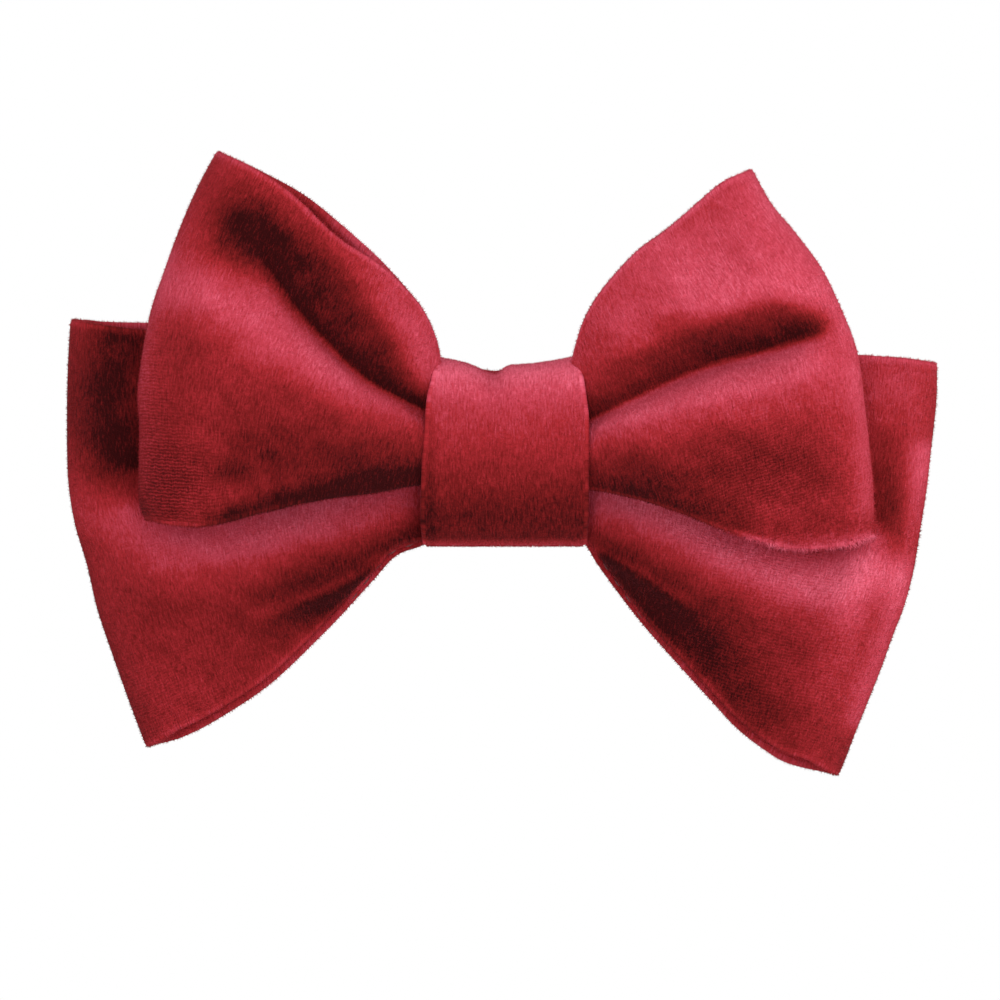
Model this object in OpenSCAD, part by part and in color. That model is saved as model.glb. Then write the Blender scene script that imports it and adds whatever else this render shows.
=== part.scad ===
// Pre-tied double bow tie in cotton velvet, on a spring clip.
// X runs across the bow, Z is up, and the front faces -Y.
// The origin is on the gripping face of the clip, behind the centre of the knot.
// Two flat tubes of velvet are each folded into a ring, pinched flat at the waist and
// stacked: the front bow fans upwards, the rear bow fans downwards. The knot band wraps
// both waists, and a sprung steel clip is sewn to the back of the knot.

/* [Front bow] */
// Upper outer tip of the front left loop, across and up
front_left_tip = [-43.5, 45]; // [-60:0.5:60]
// Lower outer corner of the front left loop
front_left_corner = [-54.3, -9.8]; // [-60:0.5:60]
// Upper outer tip of the front right loop
front_right_tip = [37.1, 42.6]; // [-60:0.5:60]
// Lower outer corner of the front right loop
front_right_corner = [55.4, -11.5]; // [-60:0.5:60]
// Depth of the soft valley folded into the front of each front loop
front_fold_depth = 2.6; // [0:0.1:3]

/* [Rear bow] */
// Upper outer corner of the rear left loop
rear_left_corner = [-65.7, 19.4]; // [-75:0.5:75]
// Lower outer tip of the rear left loop
rear_left_tip = [-54.4, -44]; // [-75:0.5:75]
// Upper outer corner of the rear right loop
rear_right_corner = [65, 13.4]; // [-75:0.5:75]
// Lower outer tip of the rear right loop
rear_right_tip = [50, -48.2]; // [-75:0.5:75]
// Depth of the soft valley folded into the front of each rear loop
rear_fold_depth = 1.6; // [0:0.1:3]

/* [Cloth] */
// Thickness of one ply of velvet, with its pile
velvet_t = 1.1; // [0.6:0.1:1.2]
// Space between the two plies, which the interlining fills
between_plies = 0.4; // [0.3:0.1:0.6]
// Half of the opening of each loop, to the middle of its wall
loop_half_open = 5.2; // [4:0.1:5.3]
// Seam allowance kept clear of the interlining
seam_allowance = 1.2; // [1:0.1:3]
// Thickness of the sewing thread
thread_t = 0.34; // [0.2:0.02:0.36]

/* [Knot] */
// Width of the knot band
knot_w = 25; // [22:0.5:30]
// Height of the knot
knot_h = 27.6; // [26:0.2:32]
// Depth of the knot from front to back
knot_d = 21; // [20.8:0.1:24]
// Corner radius of the knot seen from the side
knot_corner_r = 3.5; // [2.5:0.5:3.5]
// Thickness of the knot interlining
knot_interlining_t = 0.6; // [0.3:0.1:0.8]

/* [Clip] */
// Length of the clip
clip_l = 40; // [36:1:44]
// Width of the clip base
clip_w = 9; // [8:0.5:12]
// Thickness of the steel sheet
steel_t = 0.8; // [0.6:0.1:0.8]
// Radius of the hinge pin
pin_r = 0.8; // [0.6:0.1:0.9]
// Clear height inside the closed clip
clip_throat_h = 5; // [4.8:0.1:6]
// Wire diameter of the hinge spring
spring_wire_d = 0.5; // [0.3:0.05:0.5]
// Number of coils in the hinge spring
spring_coils = 5; // [3:1:6]

/* [Hidden] */
$fn = 48;

// Colours of the materials
velvet_colour = [0.62, 0.12, 0.18];
lining_colour = [0.50, 0.09, 0.14];
interlining_colour = [0.88, 0.86, 0.80];
thread_colour = [0.40, 0.06, 0.09];
steel_colour = [0.72, 0.72, 0.74];

// Clearance left where two pieces of cloth or thread lie together
lay_gap = 0.02;
// Gap between the two cut ends of each strip, at the centre back
join_gap = 0.6;
// Distance from the middle of a wall to its outer face
wall_half_t = between_plies / 2 + velvet_t;
// Half of the opening inside the knot, to the middle of each wall
waist_half_open = 2 * wall_half_t;

// Knot, from back to front
knot_back_y = -1.5;
knot_front_y = knot_back_y - knot_d;
knot_inside_h = knot_h - 2 * (velvet_t + knot_interlining_t);
// Where the pinched waist ends and the loops start to flare, just outside the edge of the knot
waist_half_l = knot_w / 2 + 0.3;
// The waists' top and bottom edges inside the knot
waist_clear = 1.5;
waist_top_z = knot_inside_h / 2 - waist_clear;
front_waist_bottom_z = -5;
rear_waist_top_z = 9;
// Room that the gathering thread takes round each waist
gather_room = 0.45;
// Middle planes of the two waists and of the two pairs of loops
rear_waist_y = knot_back_y - velvet_t - knot_interlining_t - waist_half_open - wall_half_t - gather_room;
front_waist_y = rear_waist_y - 2 * (waist_half_open + wall_half_t) - 2 * gather_room;
loop_depth = 2 * (loop_half_open + wall_half_t);
rear_loop_y = -loop_depth / 2;
front_loop_y = rear_loop_y - loop_depth - 0.3;

// A bow is [waist plane, loop plane, waist bottom, waist top, fold depth, left loop, right loop].
// A loop is [side, bottom end, bottom bend, top end, top bend, bulge of the outer edge].
front_bow = [
    front_waist_y, front_loop_y, front_waist_bottom_z, waist_top_z, front_fold_depth,
    [-1, front_left_corner, [-36, -9.5], front_left_tip, [-17, 31], 5.1],
    [1, front_right_corner, [40, -17], front_right_tip, [15, 30], 6.7]
];
rear_bow = [
    rear_waist_y, rear_loop_y, -waist_top_z, rear_waist_top_z, rear_fold_depth,
    [-1, rear_left_tip, [-32, -34], rear_left_corner, [-35, 17], 4.5],
    [1, rear_right_tip, [32, -42], rear_right_corner, [35, 14], 4.1]
];

// How the walls are divided: steps along a wall, rows across it, and degrees round a fold
wall_steps = 7;
cloth_rows = 6;
fold_step = 30;
// Share of a loop's length that its rounded outer fold takes up
fold_share = 0.11;
// Share of a loop's length over which it opens out from the waist
opening_share = 0.75;
// Where the soft valley runs across a wall, from 0 at the bottom edge to 1 at the top, and its width
valley_at = 0.56;
valley_width = 0.2;

function smooth(t) = let (u = min(1, max(0, t))) u * u * (3 - 2 * u);
function bend(a, b, c, t) = (1 - t) * (1 - t) * a + 2 * t * (1 - t) * b + t * t * c;
function wall_open(q) = waist_half_open + (loop_half_open - waist_half_open) * smooth(q / opening_share);

// A station is [loop number in the bow, share of the waist, share of the loop,
// offset from the middle plane]
function wall_stations(loop, wall, waist_shares) = concat(
    [for (k = waist_shares) [loop, k, 0, wall * waist_half_open]],
    [for (i = [1 : wall_steps])
        let (q = (1 - fold_share) * i / wall_steps)
        [loop, 1, q, wall * wall_open(q)]]
);
function fold_stations(loop, from_wall) = [
    for (a = [fold_step : fold_step : 180 - fold_step])
        [loop, 1, 1 - fold_share * (1 - sin(a)), from_wall * loop_half_open * cos(a)]
];
function backwards(list) = [for (i = [len(list) - 1 : -1 : 0]) list[i]];

// Round the ring: right back wall, right fold, front walls, left fold, left back wall
back_shares = [join_gap / 2 / waist_half_l, 0.5, 1];
front_shares = [0.5, 1];
ring = concat(
    wall_stations(6, 1, back_shares),
    fold_stations(6, 1),
    backwards(wall_stations(6, -1, front_shares)),
    [[6, 0, 0, -waist_half_open]],
    wall_stations(5, -1, front_shares),
    fold_stations(5, -1),
    backwards(wall_stations(5, 1, back_shares))
);

// Lower and upper edge of a bow at a station, across and up. A loop's corners are those of its
// outside, so the middle of the wall ends half a wall inside them.
function wall_end(loop, corner) = corner - [loop[0] * wall_half_t, 0];
function bottom_edge(bow, st) = let (loop = bow[st[0]])
    bend([loop[0] * waist_half_l * st[1], bow[2]], loop[2], wall_end(loop, loop[1]), st[2]);
function top_edge(bow, st) = let (loop = bow[st[0]])
    bend([loop[0] * waist_half_l * st[1], bow[3]], loop[4], wall_end(loop, loop[3]), st[2]);
function strip_width(bow, st) = norm(top_edge(bow, st) - bottom_edge(bow, st));

// The valley is pressed into the front walls only, and fades out at the knot and at the fold
function valley(bow, st, v) = st[3] < 0
    ? bow[4] * sin(180 * st[2]) * exp(-pow((v - valley_at) / valley_width, 2)) : 0;

// A point on the middle of a wall, v from 0 at the lower edge to 1 at the upper edge
function wall_point(bow, st, v) =
    let (
        loop = bow[st[0]],
        flat = (1 - v) * bottom_edge(bow, st) + v * top_edge(bow, st),
        bulge = loop[0] * loop[5] * 4 * v * (1 - v) * st[2] * st[2],
        plane = bow[0] + (bow[1] - bow[0]) * smooth(st[2] / opening_share)
    )
    [flat[0] + bulge, plane + st[3] + valley(bow, st, v), flat[1]];

// The wall's outward direction in plan, from the stations on either side
function outward(bow, i, v) =
    let (
        before = wall_point(bow, ring[max(0, i - 1)], v),
        after = wall_point(bow, ring[min(len(ring) - 1, i + 1)], v),
        along = after - before,
        l = norm([along[0], along[1]])
    )
    [-along[1] / l, along[0] / l, 0];

// Rows across a strip, in millimetres from its edges: a positive number counts from the lower
// edge, a negative one from the upper edge, and a whole panel has even rows in between.
function panel_rows(width, inset) = [
    for (j = [0 : cloth_rows - 1]) (inset + (width - 2 * inset) * j / (cloth_rows - 1)) / width
];
function rows_at(kind, width) =
    kind == "velvet" ? concat([0], panel_rows(width, seam_allowance), [1])
    : kind == "interlining" ? panel_rows(width, seam_allowance + lay_gap)
    : kind == "bottom_thread" ? [0.5 / width, (0.5 + thread_t) / width]
    : [1 - (0.5 + thread_t) / width, 1 - 0.5 / width];

// One layer of a bow's strip, from one distance out from the middle of the wall to another
module strip(bow, kind, near, far) {
    rows = len(rows_at(kind, 10));
    count = len(ring);
    surface = [
        for (d = [far, near], i = [0 : count - 1], v = rows_at(kind, strip_width(bow, ring[i])))
            wall_point(bow, ring[i], v) + d * outward(bow, i, v)
    ];
    inner = count * rows;
    outer_faces = [
        for (i = [0 : count - 2], j = [0 : rows - 2])
            let (a = i * rows + j, b = a + rows)
            each [[a, a + 1, b], [b, a + 1, b + 1]]
    ];
    inner_faces = [
        for (i = [0 : count - 2], j = [0 : rows - 2])
            let (a = inner + i * rows + j, b = a + rows)
            each [[a, b, a + 1], [b, b + 1, a + 1]]
    ];
    lower_edge = [
        for (i = [0 : count - 2])
            let (a = i * rows, b = a + rows)
            each [[a, b, inner + a], [b, inner + b, inner + a]]
    ];
    upper_edge = [
        for (i = [0 : count - 2])
            let (a = i * rows + rows - 1, b = a + rows)
            each [[a, inner + a, b], [b, inner + a, inner + b]]
    ];
    first_end = [
        for (j = [0 : rows - 2])
            each [[j, inner + j, j + 1], [j + 1, inner + j, inner + j + 1]]
    ];
    last = (count - 1) * rows;
    last_end = [
        for (j = [0 : rows - 2])
            let (a = last + j)
            each [[a, a + 1, inner + a], [a + 1, inner + a + 1, inner + a]]
    ];
    polyhedron(
        points = surface,
        faces = concat(outer_faces, inner_faces, lower_edge, upper_edge, first_end, last_end)
    );
}

// Pieces that both bows have
module bow_velvet(bow) {
    color(velvet_colour) strip(bow, "velvet", between_plies / 2, wall_half_t);
}

module bow_lining(bow) {
    color(lining_colour) strip(bow, "velvet", -wall_half_t, -between_plies / 2);
}

module bow_interlining(bow) {
    half = between_plies / 2 - lay_gap;
    color(interlining_colour) strip(bow, "interlining", -half, half);
}

module bow_seam(bow, kind) {
    color(thread_colour) strip(bow, kind, -thread_t / 2, thread_t / 2);
}

// Short stitches across the two ends of the strip, on the outside of the back wall
join_stitch_l = 4;
join_stitch_pitch = 3;
module bow_join_stitches(bow) {
    y = bow[0] + waist_half_open + wall_half_t + thread_t / 2 + lay_gap;
    margin = 1.5;
    color(thread_colour)
    for (z = [bow[2] + margin : join_stitch_pitch : bow[3] - margin])
        translate([-join_stitch_l / 2, y, z]) rotate([0, 90, 0]) cylinder(d = thread_t, h = join_stitch_l);
}

// Turns of thread that pull the waist in, some on each side of the join
gather_turns = 3;
gather_start_x = 3;
gather_pitch = 0.6;
module bow_gathering_thread(bow) {
    inside_y = 2 * (waist_half_open + wall_half_t + lay_gap);
    inside_z = bow[3] - bow[2] + 2 * lay_gap;
    color(thread_colour)
    for (side = [-1, 1], i = [0 : gather_turns - 1])
        let (x = side * (gather_start_x + i * gather_pitch))
        translate([x - thread_t / 2, bow[0], (bow[2] + bow[3]) / 2])
            rotate([90, 0, 90]) linear_extrude(thread_t) difference() {
                square([inside_y + 2 * thread_t, inside_z + 2 * thread_t], center = true);
                square([inside_y, inside_z], center = true);
            }
}

module front_bow_velvet() { bow_velvet(front_bow); }
module front_bow_lining() { bow_lining(front_bow); }
module front_bow_interlining() { bow_interlining(front_bow); }
module front_bow_top_seam() { bow_seam(front_bow, "top_thread"); }
module front_bow_bottom_seam() { bow_seam(front_bow, "bottom_thread"); }
module front_bow_join_stitches() { bow_join_stitches(front_bow); }
module front_bow_gathering_thread() { bow_gathering_thread(front_bow); }

module rear_bow_velvet() { bow_velvet(rear_bow); }
module rear_bow_lining() { bow_lining(rear_bow); }
module rear_bow_interlining() { bow_interlining(rear_bow); }
module rear_bow_top_seam() { bow_seam(rear_bow, "top_thread"); }
module rear_bow_bottom_seam() { bow_seam(rear_bow, "bottom_thread"); }
module rear_bow_join_stitches() { bow_join_stitches(rear_bow); }
module rear_bow_gathering_thread() { bow_gathering_thread(rear_bow); }

// Thread shanks that hold the back of the front waist to the front of the rear waist
tack_x = 8;
tack_pitch = 4;
module waist_tack_stitches() {
    from_y = front_waist_y + waist_half_open + wall_half_t + lay_gap;
    to_y = rear_waist_y - waist_half_open - wall_half_t - lay_gap;
    color(thread_colour)
    for (side = [-1, 1], z = [front_waist_bottom_z + 2 : tack_pitch : rear_waist_top_z - 2])
        translate([side * tack_x, from_y, z])
            rotate([-90, 0, 0]) cylinder(d = 2 * thread_t, h = to_y - from_y);
}

// Knot seen from the side, with its edge moved in by a distance
module knot_section(inset) {
    d = knot_d - 2 * inset;
    h = knot_h - 2 * inset;
    r = knot_corner_r - inset;
    square([d - 2 * r, h], center = true);
    square([d, h - 2 * r], center = true);
    for (sy = [-1, 1], sz = [-1, 1])
        translate([sy * (d / 2 - r), sz * (h / 2 - r)]) circle(r);
}

// A band round the knot, with a slit at the middle of the back where its ends meet
module knot_band(outer_inset, inner_inset) {
    middle_y = (knot_front_y + knot_back_y) / 2;
    slit_h = join_gap;
    translate([-knot_w / 2, middle_y, 0]) rotate([90, 0, 90]) linear_extrude(knot_w) difference() {
        knot_section(outer_inset);
        knot_section(inner_inset);
        translate([knot_d / 4, -slit_h / 2]) square([knot_d / 2, slit_h]);
    }
}

module knot_velvet() { color(velvet_colour) knot_band(0, velvet_t); }

module knot_interlining() {
    color(interlining_colour) knot_band(velvet_t, velvet_t + knot_interlining_t);
}

closing_stitch_l = 5;
closing_stitch_pitch = 3;
module knot_closing_stitches() {
    y = knot_back_y + thread_t / 2 + lay_gap;
    margin = 2;
    color(thread_colour)
    for (x = [-knot_w / 2 + margin : closing_stitch_pitch : knot_w / 2 - margin])
        translate([x, y, -closing_stitch_l / 2]) cylinder(d = thread_t, h = closing_stitch_l);
}

// Clip: base plate, hinge ears and sewing holes
clip_mouth_x = -clip_l / 2;
clip_tail_x = clip_l / 2;
hinge_x = 5;
spring_r = pin_r + spring_wire_d / 2 + 0.2;
hinge_y = clip_throat_h - spring_r - 1.5 * spring_wire_d - 0.3;
ear_half_l = 2.4;
pin_fit = 0.01;
running_fit = 0.07;
sewing_hole_r = 0.7;
sewing_hole_z = 2.8;
sewing_hole_xs = [-9, -1];
clip_corner_r = 2;
module clip_base() {
    color(steel_colour) difference() {
        union() {
            rotate([90, 0, 0]) linear_extrude(steel_t) {
                square([clip_l - 2 * clip_corner_r, clip_w], center = true);
                square([clip_l, clip_w - 2 * clip_corner_r], center = true);
                for (sx = [-1, 1], sz = [-1, 1])
                    translate([sx * (clip_l / 2 - clip_corner_r), sz * (clip_w / 2 - clip_corner_r)])
                        circle(clip_corner_r);
            }
            for (z = [-clip_w / 2, clip_w / 2 - steel_t]) translate([0, 0, z]) linear_extrude(steel_t) {
                translate([hinge_x - ear_half_l, -steel_t / 2])
                    square([2 * ear_half_l, hinge_y + steel_t / 2]);
                translate([hinge_x, hinge_y]) circle(ear_half_l);
            }
        }
        translate([hinge_x, hinge_y, -clip_w]) cylinder(r = pin_r + pin_fit, h = 2 * clip_w);
        for (x = sewing_hole_xs, z = [-sewing_hole_z, sewing_hole_z])
            translate([x, -clip_w, z]) rotate([-90, 0, 0]) cylinder(r = sewing_hole_r, h = 2 * clip_w);
    }
}

// Thread staples that go through the base and lie on the back of the knot
module clip_stitches() {
    r = thread_t / 2;
    bar_y = r + lay_gap;
    color(thread_colour)
    for (x = sewing_hole_xs) {
        for (z = [-sewing_hole_z, sewing_hole_z]) translate([x, knot_back_y + thread_t + 3 * lay_gap, z])
            rotate([-90, 0, 0]) cylinder(r = r, h = bar_y + r - knot_back_y - thread_t - 3 * lay_gap);
        translate([x, bar_y, -sewing_hole_z]) cylinder(r = r, h = 2 * sewing_hole_z);
    }
}

// Moving jaw: side outline of the sheet, side cheeks round the pin, and teeth at the mouth
jaw_w = clip_w - 2 * steel_t - 0.4;
jaw_slope_x = -13;
lever_start_x = 9;
lever_end_y = clip_throat_h + 5.5;
tooth_h = 1.4;
tooth_gap = 0.12;
tooth_count = 5;
module jaw_sheet_outline() {
    y = clip_throat_h;
    polygon([
        [clip_mouth_x, tooth_h + tooth_gap],
        [clip_mouth_x + 1.2, tooth_h + tooth_gap],
        [jaw_slope_x, y],
        [lever_start_x, y],
        [clip_tail_x, lever_end_y],
        [clip_tail_x - 0.3, lever_end_y + steel_t],
        [lever_start_x - 0.3, y + steel_t],
        [jaw_slope_x - 0.3, y + steel_t],
        [clip_mouth_x, tooth_h + tooth_gap + 1.1]
    ]);
}
module clip_jaw() {
    pitch = jaw_w / tooth_count;
    color(steel_colour) difference() {
        union() {
            translate([0, 0, -jaw_w / 2]) linear_extrude(jaw_w) jaw_sheet_outline();
            for (z = [-jaw_w / 2, jaw_w / 2 - steel_t]) translate([0, 0, z]) linear_extrude(steel_t) {
                translate([hinge_x - ear_half_l, hinge_y])
                    square([2 * ear_half_l, clip_throat_h - hinge_y + steel_t / 2]);
                translate([hinge_x, hinge_y]) circle(ear_half_l - 0.6);
            }
            for (i = [0 : tooth_count - 1])
                translate([clip_mouth_x, tooth_h + tooth_gap + 0.4, -jaw_w / 2 + i * pitch])
                    rotate([0, 90, 0]) linear_extrude(steel_t)
                        polygon([
                            [0, 0], [-pitch, 0], [-pitch, -0.4],
                            [-pitch / 2, -0.4 - tooth_h], [0, -0.4]
                        ]);
        }
        translate([hinge_x, hinge_y, -clip_w]) cylinder(r = pin_r + running_fit, h = 2 * clip_w);
    }
}

module clip_hinge_pin() {
    head_r = pin_r + 0.7;
    head_t = 0.5;
    color(steel_colour) translate([hinge_x, hinge_y, 0]) {
        translate([0, 0, -clip_w / 2 - head_t]) cylinder(r = pin_r, h = clip_w + 2 * head_t);
        for (z = [-clip_w / 2 - head_t - lay_gap, clip_w / 2 + lay_gap])
            translate([0, 0, z]) cylinder(r = head_r, h = head_t);
    }
}

// Hinge spring: close coils round the pin, one leg on the base and one under the lever
spring_leg_l = 9;
spring_leg_tilt = 3;
module spring_leg(side, z) {
    wire_r = spring_wire_d / 2;
    translate([0, side * (spring_r + spring_wire_d + lay_gap), z])
        rotate([0, 90, max(0, side) * spring_leg_tilt]) cylinder(r = wire_r, h = spring_leg_l);
}
module clip_spring() {
    pitch = spring_wire_d + lay_gap;
    coil_l = (spring_coils - 1) * pitch;
    color(steel_colour) translate([hinge_x, hinge_y, 0]) {
        for (i = [0 : spring_coils - 1]) translate([0, 0, i * pitch - coil_l / 2])
            rotate_extrude() translate([spring_r, 0]) circle(spring_wire_d / 2);
        spring_leg(-1, -coil_l / 2);
        spring_leg(1, coil_l / 2);
    }
}

front_bow_velvet();
front_bow_lining();
front_bow_interlining();
front_bow_top_seam();
front_bow_bottom_seam();
front_bow_join_stitches();
front_bow_gathering_thread();
rear_bow_velvet();
rear_bow_lining();
rear_bow_interlining();
rear_bow_top_seam();
rear_bow_bottom_seam();
rear_bow_join_stitches();
rear_bow_gathering_thread();
waist_tack_stitches();
knot_velvet();
knot_interlining();
knot_closing_stitches();
clip_base();
clip_stitches();
clip_jaw();
clip_hinge_pin();
clip_spring();
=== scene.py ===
"""Double velvet bow tie on a spring clip: its cloth, thread and metal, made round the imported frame.

Sizes are in millimetres until a mesh is written, and the frame is X across, Z up, front facing -Y.
"""
import math

import bmesh
import bpy
import numpy as np
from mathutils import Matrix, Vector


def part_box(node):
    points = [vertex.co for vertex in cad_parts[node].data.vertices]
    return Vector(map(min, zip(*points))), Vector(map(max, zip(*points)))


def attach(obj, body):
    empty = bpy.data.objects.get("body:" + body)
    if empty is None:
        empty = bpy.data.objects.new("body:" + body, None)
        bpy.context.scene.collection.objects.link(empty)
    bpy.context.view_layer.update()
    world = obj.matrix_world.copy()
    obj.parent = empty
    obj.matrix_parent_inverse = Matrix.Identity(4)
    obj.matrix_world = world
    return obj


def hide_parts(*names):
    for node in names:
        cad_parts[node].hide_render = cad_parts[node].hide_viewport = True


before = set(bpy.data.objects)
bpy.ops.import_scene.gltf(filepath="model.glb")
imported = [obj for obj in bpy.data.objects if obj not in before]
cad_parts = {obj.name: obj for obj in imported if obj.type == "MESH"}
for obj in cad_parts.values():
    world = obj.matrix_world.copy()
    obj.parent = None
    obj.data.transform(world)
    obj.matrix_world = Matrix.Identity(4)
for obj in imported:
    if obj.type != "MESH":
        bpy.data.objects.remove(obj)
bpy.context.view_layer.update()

bl_info = {
    "name": "Double Velvet Bow Tie",
    "version": (1, 0, 0),
    "blender": (4, 5, 0),
    "location": "View3D > Sidebar > Bow Tie",
    "description": "Makes the cloth, thread and clip of a pre-tied double bow tie",
    "category": "Object",
}

MM = 0.001
MAP_SCALE = 0.1        # units of the cloth map in a millimetre
ONE_BAND = 0.314       # scale of a wave texture that gives one band a unit
BODY = "bow_tie"
JAW = "jaw"


# ---------------------------------------------------------------- settings

class BowTieCloth(bpy.types.PropertyGroup):
    """Sizes and colours of the velvet and its interlining."""
    ply: bpy.props.FloatProperty(
        name="Velvet ply", description="Thickness of one ply with its pile",
        default=1.1 * MM, min=0.6 * MM, max=1.2 * MM, unit="LENGTH")
    between: bpy.props.FloatProperty(
        name="Between plies", description="Space that the interlining fills",
        default=0.4 * MM, min=0.2 * MM, max=0.6 * MM, unit="LENGTH")
    row_pitch: bpy.props.FloatProperty(
        name="Pile row pitch", description="Distance between two rows of tufts",
        default=0.5 * MM, min=0.3 * MM, max=1 * MM, unit="LENGTH")
    # The pile colours from deep to tip are shaded and lit copies of one velvet red: painted shade at deep
    # and low, painted highlight at high and tip. The painted shading on each mesh picks among them.
    deep: bpy.props.StringProperty(
        name="Deep pile colour", description="Pile pressed away from the light", default="#2E0708")
    low: bpy.props.StringProperty(
        name="Low pile colour", description="Pile leaning away from the light", default="#701718")
    even: bpy.props.StringProperty(
        name="Even pile colour", description="Pile standing straight", default="#98242A")
    high: bpy.props.StringProperty(
        name="High pile colour", description="Pile leaning to the light", default="#B83F50")
    tip: bpy.props.StringProperty(
        name="Pile tip colour", description="Tips of well brushed pile", default="#DA6278")
    sheen: bpy.props.StringProperty(
        name="Sheen colour", description="Colour of light caught along the pile", default="#FF6C80")
    canvas: bpy.props.StringProperty(
        name="Interlining colour", description="Colour of the woven interlining", default="#DDD6C6")
    thread: bpy.props.StringProperty(
        name="Thread colour", description="Colour of the sewing thread", default="#6A1019")


class BowTieMetal(bpy.types.PropertyGroup):
    """Colours of the spring clip."""
    nickel: bpy.props.StringProperty(
        name="Nickel colour", description="Colour of the plated sheet", default="#D3CEC6")
    wire: bpy.props.StringProperty(
        name="Spring wire colour", description="Colour of the drawn wire", default="#A9A9AC")


class BowTieStage(bpy.types.PropertyGroup):
    """Floor and camera."""
    floor_drop: bpy.props.FloatProperty(
        name="Floor below centre", description="How far the floor lies below the clip",
        default=101 * MM, min=60 * MM, max=300 * MM, unit="LENGTH")
    view_width: bpy.props.FloatProperty(
        name="View width", description="Width of what the camera sees at the bow",
        default=150 * MM, min=100 * MM, max=300 * MM, unit="LENGTH")


# ---------------------------------------------------------------- small helpers

def linear(hex_colour):
    """An sRGB hex colour as linear RGBA."""
    values = [int(hex_colour[i:i + 2], 16) / 255 for i in (1, 3, 5)]
    return [v / 12.92 if v <= 0.04045 else ((v + 0.055) / 1.055) ** 2.4 for v in values] + [1.0]


def smooth(t):
    """A soft step from 0 to 1."""
    u = np.clip(t, 0, 1)
    return u * u * (3 - 2 * u)


def through(points, share):
    """A smooth curve through given points, read at shares of its length."""
    p = np.array(points, float)
    p = np.vstack([2 * p[0] - p[1], p, 2 * p[-1] - p[-2]])
    fine = []
    for a, b, c, d in zip(p, p[1:], p[2:], p[3:]):
        for t in np.linspace(0, 1, 40, endpoint=False):
            fine.append(0.5 * ((2 * b) + (c - a) * t + (2 * a - 5 * b + 4 * c - d) * t * t
                               + (3 * b - a - 3 * c + d) * t ** 3))
    fine.append(p[-2])
    fine = np.array(fine)
    run = np.concatenate([[0], np.cumsum(np.linalg.norm(np.diff(fine, axis=0), axis=1))])
    run /= run[-1]
    share = np.asarray(share, float)
    return np.stack([np.interp(share, run, fine[:, k]) for k in range(fine.shape[1])], -1)


def unit(v):
    """Vectors brought to length 1."""
    return v / np.maximum(np.linalg.norm(v, axis=-1, keepdims=True), 1e-12)


def placed(name, data):
    """A new object in the scene."""
    obj = bpy.data.objects.new(name, data)
    bpy.context.scene.collection.objects.link(obj)
    return obj


def new_object(name, verts_mm, faces, material, uv_mm=None, marks=None, body=BODY):
    """A smooth-shaded mesh object in the shared frame, with its cloth map and vertex marks."""
    mesh = bpy.data.meshes.new(name)
    mesh.from_pydata((np.asarray(verts_mm) * MM).tolist(), [], faces)
    mesh.materials.append(material)
    if uv_mm is not None:
        cloth_map = mesh.uv_layers.new(name="cloth")
        index = np.zeros(len(mesh.loops), int)
        mesh.loops.foreach_get("vertex_index", index)
        cloth_map.data.foreach_set("uv", (np.asarray(uv_mm)[index] * MAP_SCALE).astype(np.float32).ravel())
    for key, values in (marks or {}).items():
        mark = mesh.attributes.new(key, "FLOAT", "POINT")
        mark.data.foreach_set("value", np.asarray(values, np.float32))
    mesh.polygons.foreach_set("use_smooth", np.ones(len(mesh.polygons), bool))
    mesh.update()
    obj = placed(name, mesh)
    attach(obj, body)
    return obj


# ---------------------------------------------------------------- materials

def add(tree, kind, settings=None, values=None, links=None):
    """One node with its settings, its plain input values and its links, keyed by socket."""
    made = tree.nodes.new(kind)
    for key, value in (settings or {}).items():
        setattr(made, key, value)
    for key, value in (values or {}).items():
        made.inputs[key].default_value = value
    for key, source in (links or {}).items():
        tree.links.new(source, made.inputs[key])
    return made


def blend_colours(ramp, stops):
    """Sets the stops of a colour ramp from pairs of place and sRGB hex colour."""
    bar = ramp.color_ramp
    while len(bar.elements) < len(stops):
        bar.elements.new(0.5)
    for element, (place, colour) in zip(bar.elements, stops):
        element.position = place
        element.color = linear(colour)


def new_material(name):
    """A material with a Principled shader, and its node tree, ready for a pattern."""
    material = bpy.data.materials.new(name)
    material.use_nodes = True
    return material, material.node_tree


def finished(material, colour, values, bump=None, dull=None):
    """The material with its colour, bump and roughness linked and its plain values set."""
    tree = material.node_tree
    shader = tree.nodes["Principled BSDF"]
    for key, source in (("Base Color", colour), ("Normal", bump), ("Roughness", dull)):
        if source is not None:
            tree.links.new(source.outputs[0], shader.inputs[key])
    for key, value in values.items():
        shader.inputs[key].default_value = value
    return material


def darker(hex_colour, share):
    """An sRGB hex colour made darker."""
    return "#" + "".join(f"{int(int(hex_colour[i:i + 2], 16) * share):02X}" for i in (1, 3, 5))


def lit_and_shaded_pile_colours(cloth):
    """Shaded and lit copies of the pile's colour, from painted shade to painted highlight."""
    return ((0.0, cloth.deep), (0.27, cloth.low), (0.5, cloth.even),
            (0.76, cloth.high), (1.0, cloth.tip))


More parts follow.
